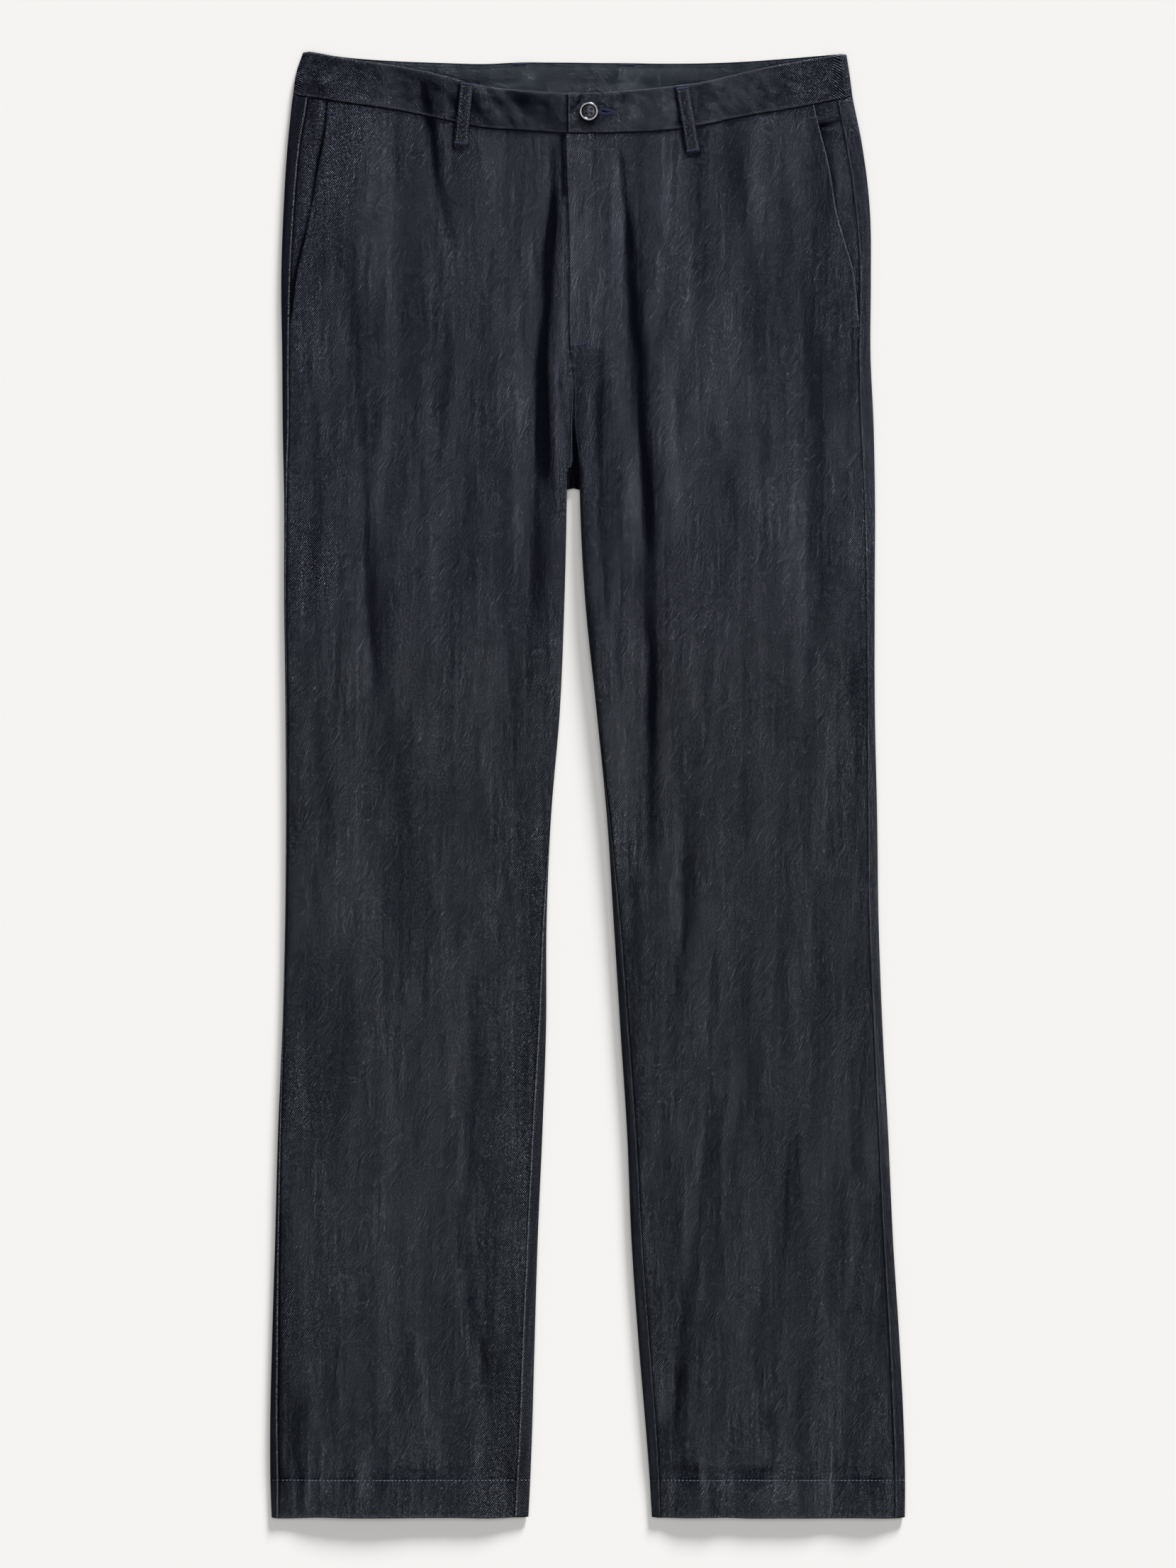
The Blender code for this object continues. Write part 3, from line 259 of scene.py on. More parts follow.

# Short creases and ridges with painted shade and painted highlights, and lighter and darker patches, each
# about a line: the x and y of its two ends, half its width, its depth (below zero where the cloth stands up)
# and its painted shade (below zero a painted highlight on the ridges, and plainly lighter cloth on the broad
# stretches).
creaseRows = (
    (-150.0, 556.0, -128.0, 541.0, 4.5, 0.5, 0.26),  # across the right half of the band
    (-129.0, 545.0, -122.0, 514.0, 3.6, 0.9, 0.30),
    (-119.0, 542.0, -98.0, 524.0, 3.8, 0.7, 0.45),
    (-88.0, 530.0, -76.0, 511.0, 4.0, 0.6, 0.50),
    (-72.0, 541.0, -52.0, 519.5, 3.2, -0.5, -0.42),
    (-85.0, 542.0, -72.0, 523.0, 3.0, -0.4, -0.42),
    (-64.0, 523.0, -47.0, 510.0, 3.2, -0.3, -0.30),
    (-78.5, 541.0, -66.0, 526.0, 2.4, 0.4, 0.36),
    (-48.0, 537.0, -29.0, 525.0, 6.0, 0.4, 0.34),
    (-55.0, 531.0, -47.0, 512.0, 4.0, 0.4, 0.30),
    (-70.0, 528.0, -52.0, 508.0, 4.0, 0.5, 0.36),
    (-48.0, 530.0, -26.0, 512.0, 8.0, 0.5, 0.40),
    (24.0, 533.0, 42.0, 525.0, 5.0, 0.5, 0.42),
    (98.0, 541.0, 140.0, 541.0, 4.5, 0.2, 0.26),
    (-13.5, 516.5, -7.0, 508.5, 5.0, -0.3, -0.48),
    (-216.0, 548.0, -205.0, 540.0, 7.0, 0.3, 0.34),
    (-210.0, 565.0, -165.0, 556.0, 3.5, 0.0, 0.20),
    (-200.0, 545.0, -182.0, 530.0, 10.0, -0.3, -0.20),
    (-160.0, 550.0, -150.0, 532.0, 6.0, -0.2, -0.12),
    (128.0, 545.0, 150.0, 524.0, 4.0, 0.6, 0.26),  # across its left half
    (93.0, 537.0, 107.0, 522.0, 3.5, 0.5, 0.22),
    (46.0, 536.0, 58.0, 512.0, 4.0, 0.4, 0.16),
    (168.0, 548.0, 180.0, 540.0, 8.0, -0.3, -0.20),
    (-100.4, 543.0, -104.6, 494.5, 1.5, 0.0, 0.95),  # the painted shadow beside the belt loops
    (-88.6, 540.0, -93.4, 497.0, 1.1, 0.0, 0.50),
    (-103.0, 493.4, -95.0, 492.8, 1.3, 0.0, 0.75),
    (67.6, 540.0, 76.0, 490.5, 1.8, 0.0, 1.15),
    (78.8, 540.0, 87.4, 492.0, 1.0, 0.0, 0.45),
    (78.0, 487.6, 87.0, 488.6, 1.3, 0.0, 0.75),
    (112.0, 527.0, 128.0, 524.0, 6.0, -0.2, -0.14),
    (-3.9, 538.0, -7.5, 529.0, 1.5, 0.7, 0.75),  # where the button pulls, with painted shade in its creases
    (-7.5, 529.0, -15.0, 522.8, 1.5, 0.7, 0.75),
    (8.0, 528.0, 22.0, 523.0, 2.0, 0.5, 0.30),
    (9.5, 522.2, 20.0, 521.2, 1.0, 0.7, 0.80),  # painted shade in the buttonhole's slit
    (-20.0, 504.0, -18.6, 458.0, 2.5, 1.2, 0.95),  # the painted shadow in the gap beside the fly
    (-7.0, 314.0, -6.5, 262.0, 2.6, 0.6, 0.42),  # painted shade beside the crotch seam
    (1.0, 305.0, 0.0, 235.0, 3.5, -0.2, -0.24),
    (-20.5, 330.0, -21.5, 310.0, 1.5, 0.6, 0.55),
    (-21.5, 310.0, -18.0, 291.0, 1.5, 0.6, 0.60),
    (-18.0, 291.0, -15.5, 268.0, 1.5, 0.6, 0.55),
    (-13.4, 340.0, 0.0, 341.2, 0.9, 0.3, 0.60),  # painted shade under the fly's bar tack
    (-25.8, 328.0, -24.5, 238.0, 2.2, -0.4, -0.34),
    (-8.5, 333.0, -12.0, 322.0, 2.0, 0.3, 0.30),
    (-1.0, 372.0, 3.0, 352.0, 1.8, 0.3, 0.26),  # where the fly's foot puckers
    (-18.5, 362.0, -17.5, 300.0, 3.2, -0.2, -0.34),  # beside the fly's foot
    (-20.0, 290.0, -21.0, 200.0, 3.4, -0.2, -0.36),
    (-11.8, 305.0, -11.6, 258.0, 2.0, 0.4, 0.50),
    (9.0, 306.0, 10.0, 262.0, 5.0, 0.3, 0.28),
    (61.0, 470.0, 63.0, 372.0, 7.0, -0.3, -0.36),  # a painted highlight on the ridge beside the long fold
    (64.0, 350.0, 69.0, 190.0, 7.0, -0.3, -0.30),
    (62.0, 120.0, 63.0, -10.0, 7.0, -0.2, -0.16),
    (189.0, 430.0, 188.0, 350.0, 9.0, -0.2, -0.30),
    (208.0, 215.0, 208.0, 165.0, 4.5, -0.1, -0.28),
    (170.0, 140.0, 172.0, 110.0, 6.0, -0.1, -0.28),
    (-208.0, 385.0, -209.0, 320.0, 7.5, -0.2, -0.26),
    (-106.0, 285.0, -106.0, 250.0, 6.0, -0.2, -0.26),
    (-118.0, 205.0, -120.0, 170.0, 7.0, -0.2, -0.22),
    (-88.0, 430.0, -90.0, 330.0, 9.0, -0.2, -0.16),
    (-60.0, 190.0, -64.0, 140.0, 6.0, 0.2, 0.20),
    (207.0, 95.0, 206.0, 75.0, 8.0, 0.3, 0.34),
    (82.0, 45.0, 86.0, 20.0, 6.0, 0.2, 0.22),
    (-146.0, -330.0, -121.0, -505.0, 6.5, -0.4, -0.34),  # a painted highlight on a ridge down the right shin
    (-60.0, -150.0, -58.0, -285.0, 10.0, -0.2, -0.22),
    (-176.0, -150.0, -184.0, -285.0, 12.0, -0.2, -0.14),
    (40.0, -80.0, 37.0, -175.0, 9.0, 0.5, 0.50),  # painted shade on the left leg's inner side
    (38.0, -190.0, 42.0, -285.0, 7.0, 0.3, 0.42),
    (2.5, 140.0, 3.5, 90.0, 5.0, 0.3, 0.34),
    (54.0, -395.0, 56.0, -440.0, 4.5, 0.3, 0.30),
    (87.0, -415.0, 88.0, -445.0, 6.0, 0.4, 0.34),
    (70.0, -531.0, 150.0, -533.0, 4.5, 0.5, 0.40),  # above the hems
    (-150.0, -533.0, -85.0, -532.0, 4.0, 0.4, 0.24),
    (128.0, -552.0, 170.0, -553.0, 6.0, -0.4, -0.26),
    (104.0, -552.0, 112.0, -553.0, 4.0, 0.4, 0.26),
    (141.0, -492.0, 142.0, -525.0, 7.0, 0.5, 0.42),
    (121.0, -395.0, 121.0, -440.0, 6.0, 0.3, 0.28),
    (180.0, -529.0, 200.0, -530.0, 5.0, 0.3, 0.32),
    (-98.0, -325.0, -98.5, -368.0, 5.0, 0.4, 0.40),
    (-90.0, -400.0, -78.0, -475.0, 5.0, 0.4, 0.36),
    (-238.0, -340.0, -241.0, -535.0, 7.0, 0.4, 0.42),  # painted shade at the outer edges of both shins
    (241.0, -300.0, 244.0, -520.0, 6.0, 0.3, 0.40),
    (-85.0, 480.0, -70.0, 310.0, 26.0, -0.2, -0.17),  # lighter and darker stretches
    (-6.0, 495.0, -2.0, 345.0, 11.0, -0.1, -0.14),
    (66.0, 315.0, 68.0, 175.0, 8.0, -0.2, -0.16),
    (97.0, 460.0, 102.0, 250.0, 16.0, -0.2, -0.10),
    (-130.0, 330.0, -128.0, 90.0, 18.0, -0.1, -0.08),
    (-60.0, 246.0, -64.0, 40.0, 12.0, 0.1, 0.10),
    (-205.0, 300.0, -205.0, 40.0, 14.0, -0.1, -0.08),
    (105.0, 120.0, 100.0, -60.0, 18.0, -0.1, -0.07),
    (190.0, -330.0, 188.0, -470.0, 16.0, 0.1, 0.10),
    (120.0, -350.0, 110.0, -480.0, 12.0, -0.1, -0.08),
    (-225.0, -484.0, -225.0, -532.0, 6.5, 1.4, 0.50),  # painted shade above the right hem's outer corner
    (-224.5, -541.0, -224.5, -560.0, 2.6, 0.8, 0.38),
    (60.0, -500.0, 58.0, -548.0, 6.0, 0.8, 0.34),  # painted shade above the left hem's inner corner
    (181.0, 511.3, 194.5, 514.4, 1.9, 1.7, 0.95),  # a tuck in the left pocket facing: painted shadow in it, and a painted highlight on the bump above it
    (183.0, 504.5, 195.0, 503.0, 4.5, 0.0, 0.34),
    (181.0, 515.8, 193.0, 518.4, 2.2, -0.7, -0.15),
)


def smooth(t):  # from 0 to 1, level at both ends
    t = np.clip(t, 0.0, 1.0)
    return t * t * (3.0 - 2.0 * t)


def curveAt(at, columns, rows, name):
    # a cubic curve through one column of a table, each slope taken from the rows beside it
    knots, values = np.array(sorted((row[0], row[columns.index(name)]) for row in rows)).T
    slopes = np.gradient(values, knots)
    i = np.clip(np.searchsorted(knots, at) - 1, 0, len(knots) - 2)
    step = knots[i + 1] - knots[i]
    t = np.clip((at - knots[i]) / step, 0.0, 1.0)
    rest = 1.0 - t
    ends = values[i] * (1.0 + 2.0 * t) * rest**2 + values[i + 1] * (3.0 - 2.0 * t) * t**2
    return ends + step * t * rest * (slopes[i] * rest - slopes[i + 1] * t)


def wander(x, y, wide, long, seed):
    # soft noise from -1 to 1: one value at each corner of cells wide by long, blended smoothly between
    i, j = np.floor(x / wide), np.floor(y / long)
    s, t = smooth(x / wide - i), smooth(y / long - j)

    def corner(di, dj):  # what is left after the point of a large sine, which jumps about from cell to cell
        mixed = np.sin((i + di) * 127.1 + (j + dj) * 311.7 + seed * 74.7) * 43758.5453
        return 2.0 * (mixed - np.floor(mixed)) - 1.0

    near = corner(0, 0) * (1.0 - s) + corner(1, 0) * s
    far = corner(0, 1) * (1.0 - s) + corner(1, 1) * s
    return near * (1.0 - t) + far * t


def mottles(x, y, rows):
    # a sum of soft noises, each row giving its strength, its cells' width and length, and its seed
    total = 0.0
    for strength, wide, long, seed in rows:
        total = total + strength * wander(x, y, wide, long, seed)
    return total


def alongX(x, wide, seed):  # soft noise that changes with x alone
    return wander(x, 0.0 * x, wide, 1.0, seed)


def alongY(y, long, seed):  # and with y alone
    return wander(0.0 * y, y, 1.0, long, seed)


def legAt(y, side, name):  # one of a leg's columns, at this height
    return curveAt(y, legColumns, legRows[side], name)


def fromEdge(x, y, side, name):  # distance in x from a leg's outer or inner edge
    return np.abs(x - legAt(y, side, name))


def waistAt(x, name):
    # y of one of the waist's edges; the seam behind runs at the band's depth under its top
    if name == "backSeam":
        return curveAt(x, waistColumns, waistRows, "backTop") - band["depth"]
    return curveAt(x, waistColumns, waistRows, name)


def centreAt(y):  # x of the fly's edge and of the crotch seam
    return curveAt(y, centreColumns, centreRows, "x")


def openingAt(y, side):  # how far in the pocket opens
    return curveAt(y, pocketColumns, pocketRows, side)


def bell(t):  # 1 at zero, and nearly 0 beyond 1.8 either way
    return np.exp(-1.4 * t * t)


def foldsAt(x, y):
    # depth and painted shade of the long folds: across each, a bell with a steeper wall on its right leg's
    # side and a low ridge before it with a painted highlight; along it, both fade in and out and waver a
    # little
    depth, shade = 0.0 * x, 0.0 * x
    for number, row in enumerate(foldRows):
        top, foot, xTop, xMiddle, xFoot, width, deep, dark, light = row
        t = np.clip((top - y) / (top - foot), 0.0, 1.0)
        line = xTop * (1.0 - t) * (1.0 - 2.0 * t) + xMiddle * 4.0 * t * (1.0 - t)
        line = line + xFoot * t * (2.0 * t - 1.0)
        line = line + 1.6 * alongY(y, 46.0, number) + 0.6 * alongY(y, 17.0, number + 50)
        s = (x - line) / width
        s = s * np.where(s > 0.0, 0.85, 1.5)
        along = smooth(4.0 * t) * smooth(4.0 * (1.0 - t)) * (1.0 + 0.22 * alongY(y, 60.0, number + 90))
        depth = depth + deep * along * (bell(s) - 0.22 * bell((s + 2.3) / 1.1))
        shade = shade + along * (dark * bell((s - 0.1) / 0.8) - light * bell((s + 2.2) / 1.2))
    return depth, shade


def creasesAt(x, y):
    # depth and shade of the creases and patches, painted shade and highlight on the creases and ridges: a
    # bell across each line, faded beyond its ends
    depth, shade = 0.0 * x, 0.0 * x
    for x0, y0, x1, y1, width, deep, dark in creaseRows:
        length = math.hypot(x1 - x0, y1 - y0)
        stepX, stepY = (x1 - x0) / length, (y1 - y0) / length
        along = (x - x0) * stepX + (y - y0) * stepY
        beyond = np.maximum(np.maximum(-along, along - length), 0.0)
        across = (x - x0) * stepY - (y - y0) * stepX
        across = across + 0.3 * width * alongX(along, 2.5 * width, x0)
        shape = bell(np.hypot(across, 0.7 * beyond) / width)
        depth = depth + deep * shape
        shade = shade + dark * shape
    return depth, shade


def panelWall(y):  # thicker where the hem is turned up
    return np.where(y < lay["hemTop"], lay["hemWall"], lay["wall"])


def bandLevel(x):  # straight between the table's heights
    knots, levels = np.array(bandRows).T
    return np.interp(x, knots, levels)


def nearEnd(distance, width):  # 1 at a line and fading to 0 within about twice the width
    return np.exp(-((distance / width) ** 2))


# Soft noises of the cloth's height: strength in mm, width and length of their cells, seed.
rippleRows = ((0.42, 19.0, 140.0, 1), (0.16, 8.0, 70.0, 2), (0.10, 5.0, 22.0, 3))
hemRippleRows = ((0.55, 7.5, 70.0, 4),)
waistRippleRows = ((0.30, 8.0, 60.0, 5),)


def ripples(x, y):
    # small waves in the cloth: everywhere a little, more along the hem's stitches and under the band
    byHem = nearEnd(y - lay["hemLine"], 15.0)
    byBand = nearEnd(waistAt(x, "frontSeam") - y, 24.0)
    waves = mottles(x, y, rippleRows)
    return waves + byHem * mottles(x, y, hemRippleRows) + byBand * mottles(x, y, waistRippleRows)


def clothLevel(x, y, side):
    # height of the front layer: higher at its edges and at the band, lower in the folds, and never so low
    # that it meets the back layer
    fromOuter, fromInner = fromEdge(x, y, side, "outer"), fromEdge(x, y, side, "inner")
    byOuter = 1.0 - smooth(fromOuter / lay["edgeReach"])
    byInner = 1.0 - smooth(fromInner / lay["innerReach"])
    byInner = byInner * smooth((lay["crotch"] + lay["crotchRun"] - y) / lay["crotchRun"])
    byBand = 1.0 - smooth((waistAt(x, "frontSeam") - y) / band["run"])
    level = lay["level"] + (lay["edgeLevel"] - lay["level"]) * byOuter
    level = level + (curveAt(y, innerColumns, innerRows, side) - lay["level"]) * byInner
    level = level + (bandLevel(x) - band["step"] - level) * byBand
    # towards the hem the cloth bulges in the middle and is pressed flat at the sides
    byHem = smooth((-505.0 - y) / 50.0)
    fromSide = np.minimum(fromOuter, fromInner)
    dome = 1.3 * smooth(fromSide / 55.0) + alongX(x, 38.0, 6) * smooth(fromSide / 25.0)
    level = level + byHem * (dome - 1.9 * (1.0 - smooth(fromSide / 30.0)))
    relief = foldsAt(x, y)[0] + creasesAt(x, y)[0] + ripples(x, y)
    nearEdge = smooth(fromOuter / 9.0 - 0.4)
    nearEdge = nearEdge * np.where(byInner > 0.0, smooth(fromInner / 9.0 - 0.4), 1.0)
    nearBand = smooth((waistAt(x, "frontSeam") - y) / 14.0 + 0.15)
    lowest = 2.0 * panelWall(y) + lay["leastRoom"]
    room = level - relief * nearEdge * nearBand - lowest
    return lowest + 0.5 * (room + np.sqrt(room**2 + 0.1))


def wedgeAt(y, side):
    # how far each front stands back from the seam just above the crotch: a smooth step on the right, and a
    # power of the way down on the left
    if side == "right":
        return 4.6 * smooth((251.0 - y) / 9.5)
    return 5.4 * np.clip((286.0 - y) / 44.0, 0.0, 1.0) ** 1.2


def byFly(x, y, side):
    # how far the left front is lifted by the fly, or the right one sunk under it, from 0 to 1
    past = x - centreAt(y)
    along = smooth(1.0 + (y - fly["end"]) / fly["endRun"])
    if side == "left":
        return along * (1.0 - smooth((past - fly["width"]) / fly["run"]))
    return along * smooth(1.0 + past / fly["sinkRun"])


def pastOpening(x, y, side):  # how far in from the pocket's opening
    return fromEdge(x, y, side, "outer") - openingAt(y, side)


def frontLevel(x, y, side):
    # the front's face: it steps at the fly and the pocket opening, and sinks to the crotch
    level = clothLevel(x, y, side) + 0.5 * sides[side] * fly["step"] * byFly(x, y, side)
    atPocket = smooth(1.0 + (y - pocket["end"]) / pocket["run"])
    level = level + pocket["step"] * atPocket * (1.0 - smooth(pastOpening(x, y, side) / pocket["run"]))
    toCrotch = np.where(y > lay["crotch"], smooth(1.0 - (y - lay["crotch"]) / lay["crotchRun"]), 0.0)
    valley = 1.0 - smooth(np.abs(x - centreAt(y)) / lay["crotchValley"])
    return level - toCrotch * valley * (level - lay["edgeRadius"])


def facingLevel(x, y, side):
    # the pocket facing: level with the back panel, and parallel to the front where it goes under it
    past = pastOpening(x, y, side)
    shown = clothLevel(x, y, side) - pocket["step"] * smooth(1.0 + past / pocket["sinkRun"])
    return np.where(past > 0.0, frontLevel(x, y, side) - lay["wall"] - lay["seamGap"] - 0.3, shown)


def bandFace(x, side):  # the waistband's own face: its two ends are stepped where they cross
    step = {"right": -band["tabSink"], "left": 0.5 * fly["step"]}[side]
    return bandLevel(x) + step * byFly(x, band["seamY"], side)


backLoops = {
    "spread": 41.8,  # from the centre-back seam
    "tail": 12.0,
    "lift": 1.7,
    "flat": 6.6,
    "run": 12.5,
    "liftTail": 14.5,
    "tailRun": 16.5,
    "lining": 1.4,
    "round": 0.6,
}


def floorLift(x, y):
    # the back belt loops lift the cloth that lies on them
    fromLoop = np.abs(np.abs(x - lay["centreBack"]) - backLoops["spread"])
    below = waistAt(x, "backSeam") - y
    across = np.clip(1.0 - (fromLoop - backLoops["flat"]) / backLoops["run"], 0.0, 1.0)
    along = np.clip(1.0 - (below - backLoops["liftTail"]) / backLoops["tailRun"], 0.0, 1.0)
    return backLoops["lift"] * across * along


# the way round a folded edge from its outermost point, over it and under it
arcOver = 0.5 * math.pi * math.sqrt((lay["edgeWidth"] ** 2 + lay["edgeRadius"] ** 2) / 2.0)
arcUnder = 0.5 * math.pi * lay["edgeRadius"]


def overEdge(way):
    # along the cloth over a folded edge, a quarter of an ellipse: how far in, and the share of the height
    turn = 0.5 * math.pi * np.clip(way / arcOver, 0.0, 1.0)
    return lay["edgeWidth"] * (1.0 - np.cos(turn)) + np.maximum(way - arcOver, 0.0), np.sin(turn)


def wayOver(inset):
    # the way along the cloth that reaches this far in, overEdge turned about
    turn = np.arccos(np.clip(1.0 - inset / lay["edgeWidth"], -1.0, 1.0))
    turned = np.where(inset < lay["edgeWidth"], turn / (0.5 * math.pi), 1.0)
    return arcOver * turned + np.maximum(inset - lay["edgeWidth"], 0.0)


def edgePoint(way, y, at, inward, level):
    # a point near a folded edge: over the top where its way is positive, under it where negative
    inset, share = overEdge(way)
    overX = at + inward * inset
    overZ = lay["edgeRadius"] + (level(overX, y) - lay["edgeRadius"]) * share
    turn = 0.5 * math.pi * np.clip(-way / arcUnder, 0.0, 1.0)
    underX = at + inward * (lay["edgeRadius"] * (1.0 - np.cos(turn)) + np.maximum(-way - arcUnder, 0.0))
    underZ = lay["edgeRadius"] * (1.0 - np.sin(turn)) + floorLift(underX, y)
    return np.where(way > 0.0, overX, underX), np.where(way > 0.0, overZ, underZ)


def liningOf(face, wall, turn):
    # the inner side of a wall: every point moves square to its row, by the wall
    run = np.gradient(face[..., 0], axis=1)
    rise = np.gradient(face[..., 2], axis=1)
    scale = turn * wall / np.hypot(run, rise)
    return face + np.stack([scale * rise, 0.0 * run, -scale * run], axis=-1)


def rounded(distance, radius):
    # how far a sewn edge drops within its radius of the end: a quarter circle
    t = np.clip(1.0 - distance / radius, 0.0, 1.0)
    return radius * (1.0 - np.sqrt(1.0 - t * t))


# Rows of points down the panels, and how far each follows the waist seam in front and behind.
shareRows = ((535.0, 1.0, 1.0), (504.0, 0.88, 1.0), (482.0, 0.72, 0.6), (434.0, 0.25, 0.1), (388.0, 0.0, 0.0))


# Rows that the panels must have: a place down the leg, and how far above or below it each row lies.
rowMarks = (
    (band["seamY"], (0.0, -0.7, -1.5)),
    (lay["crotch"], (lay["crotchStep"], -lay["crotchStep"])),
    (lay["backCrotch"], (lay["crotchStep"], -lay["crotchStep"])),
    (lay["hemLine"], (2.2, 1.1, 0.0)),
    (lay["hemTop"], (0.5, -0.5)),
    (lay["hemEnd"], (2.4, 1.2, 0.5, 0.0)),
)


def panelRows(spacing):
    # rows from the waist seam to the hem: all the marks, and equal steps of about the spacing between them
    marks = [place + offset for place, offsets in rowMarks for offset in offsets]
    runs = []
    for start, end in zip(marks[:-1], marks[1:]):
        count = max(1, round((start - end) / spacing))
        runs.append(np.linspace(start, end, count, endpoint=False))
    return np.concatenate(runs + [[lay["hemEnd"]]])


def rowShare(rows, behind):  # straight between the table's shares
    knots, front, back = np.array(shareRows[::-1]).T
    return np.interp(rows, knots, back if behind else front)


def rowHeight(rows, x, behind):
    # y of the rows of points: each follows the waist seam by its share
    seam = waistAt(x, "backSeam" if behind else "frontSeam")
    return rows[:, None] + rowShare(rows, behind)[:, None] * (seam - band["seamY"])


def hemShape(x, rows, side):
    # the hem's end is a little uneven and rounds up at both folded edges
    y = np.broadcast_to(rows[:, None], x.shape)
    corner = nearEnd(fromEdge(x, y, side, "outer"), 3.0) + nearEnd(fromEdge(x, y, side, "inner"), 3.0)
    return 0.5 * (corner + alongX(x, 26.0, 7)) * smooth((lay["hemLine"] - y) / 30.0)


# Streaks down the cloth: strength on the shins, what the thighs and hips add to it, then width and length of
# the noise's cells, and its seed.
streakRows = (
    (0.09, 0.15, 23.0, 260.0, 11),
    (0.11, 0.13, 11.0, 170.0, 12),
    (0.08, 0.14, 5.5, 75.0, 13),
    (0.06, 0.0, 60.0, 90.0, 14),
    (0.04, 0.07, 3.1, 38.0, 16),
)
toneLook = {
    "upperFrom": -60.0,  # where the streaks begin to grow stronger, and over which length
    "upperRun": 360.0,
    "hips": 0.17,  # how much lighter the cloth is at the waist than at the hems
    "shins": -0.06,
    "hemSeam": 0.42,  # the dark line above the hem's stitches
    "hem": 0.08,  # how much lighter the hem is
    "edge": 0.28,  # how much painted shade darkens the outer edges
    "edgeReach": 13.0,
}


def toneAt(x, y):
    # how much darker or lighter the cloth is: painted shade and highlights of folds and creases, long soft
    # streaks, and the hem's puckers, whose light and shade are painted as soft noise
    shade = foldsAt(x, y)[1] + creasesAt(x, y)[1]
    upper = smooth((y - toneLook["upperFrom"]) / toneLook["upperRun"])
    streaks = 0.0
    for low, more, wide, long, seed in streakRows:
        streaks = streaks + (low + more * upper) * wander(x, y, wide, long, seed)
    streaks = streaks + toneLook["hips"] * smooth((y + 200.0) / 600.0) + toneLook["shins"]
    fromLine = y - lay["hemLine"]
    hemSeam = toneLook["hemSeam"] * nearEnd(fromLine - 1.2, 1.0) - toneLook["hem"] * smooth(-fromLine / 2.0)
    byHem, inHem = nearEnd(fromLine, 17.0), smooth((1.0 - fromLine) / 4.0)
    wavy = (0.42 * byHem + 0.14 * inHem) * wander(x, y, 6.5, 60.0, 15)
    wavy = wavy + 0.22 * byHem * wander(x, y, 3.4, 22.0, 17)
    return streaks - shade + wavy - hemSeam


def darkLine(tone, distance, width, strength=0.92, share=1.0):
    # the tone with a seam's dark line drawn on it, whatever the cloth's own tone is there
    return tone - (strength + tone) * nearEnd(distance, width) * share


def edgeShade(x, y, side):
    # painted shade: the cloth is darker towards the legs' outer edges, on the left leg only down the shin
    down = 1.0 if side == "right" else smooth((-180.0 - y) / 160.0)
    return toneLook["edge"] * down * nearEnd(fromEdge(x, y, side, "outer"), toneLook["edgeReach"])


finish = {"sharpAt": 50.0, "buttonSharpAt": 70.0}  # degrees


def putMesh(name, points, faceSets, material, uv=None, fields=None, sharpAt=finish["sharpAt"]):
    # a mesh from points in mm and arrays of triangles and quads; faces are turned outwards by the volume
    volume = 0.0
    for faces in faceSets:
        for k in range(1, faces.shape[1] - 1):
            a, b, c = points[faces[:, 0]], points[faces[:, k]], points[faces[:, k + 1]]
            volume += np.einsum("ij,ij->", a, np.cross(b, c))
    if volume < 0.0:
        faceSets = [faces[:, ::-1] for faces in faceSets]
    corners = np.concatenate([faces.ravel() for faces in faceSets])
    used, corners = np.unique(corners, return_inverse=True)
    sizes = np.concatenate([np.full(len(faces), faces.shape[1]) for faces in faceSets])
    starts = np.concatenate([[0], np.cumsum(sizes)[:-1]])
    mesh = bpy.data.meshes.new(name)
    mesh.vertices.add(len(used))
    mesh.vertices.foreach_set("co", (points[used] * mm).astype(np.float32).ravel())
    mesh.loops.add(len(corners))
    mesh.loops.foreach_set("vertex_index", corners.astype(np.int32).ravel())
    mesh.polygons.add(len(sizes))
    mesh.polygons.foreach_set("loop_start", starts.astype(np.int32))
    mesh.update(calc_edges=True)
    if uv is not None:
        layer = mesh.uv_layers.new(name="cloth")
        layer.data.foreach_set("uv", (uv[used][corners.ravel()] * mm).astype(np.float32).ravel())
    for field, values in (fields or {}).items():
        attribute = mesh.attributes.new(field, "FLOAT", "POINT")
        attribute.data.foreach_set("value", values[used].astype(np.float32))
    mesh.validate()
    mesh.materials.append(material)
    mesh.shade_smooth()
    mesh.set_sharp_from_angle(angle=math.radians(sharpAt))
    piece = bpy.data.objects.new(name, mesh)
    bpy.context.scene.collection.objects.link(piece)
    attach(piece, "root")
    return piece


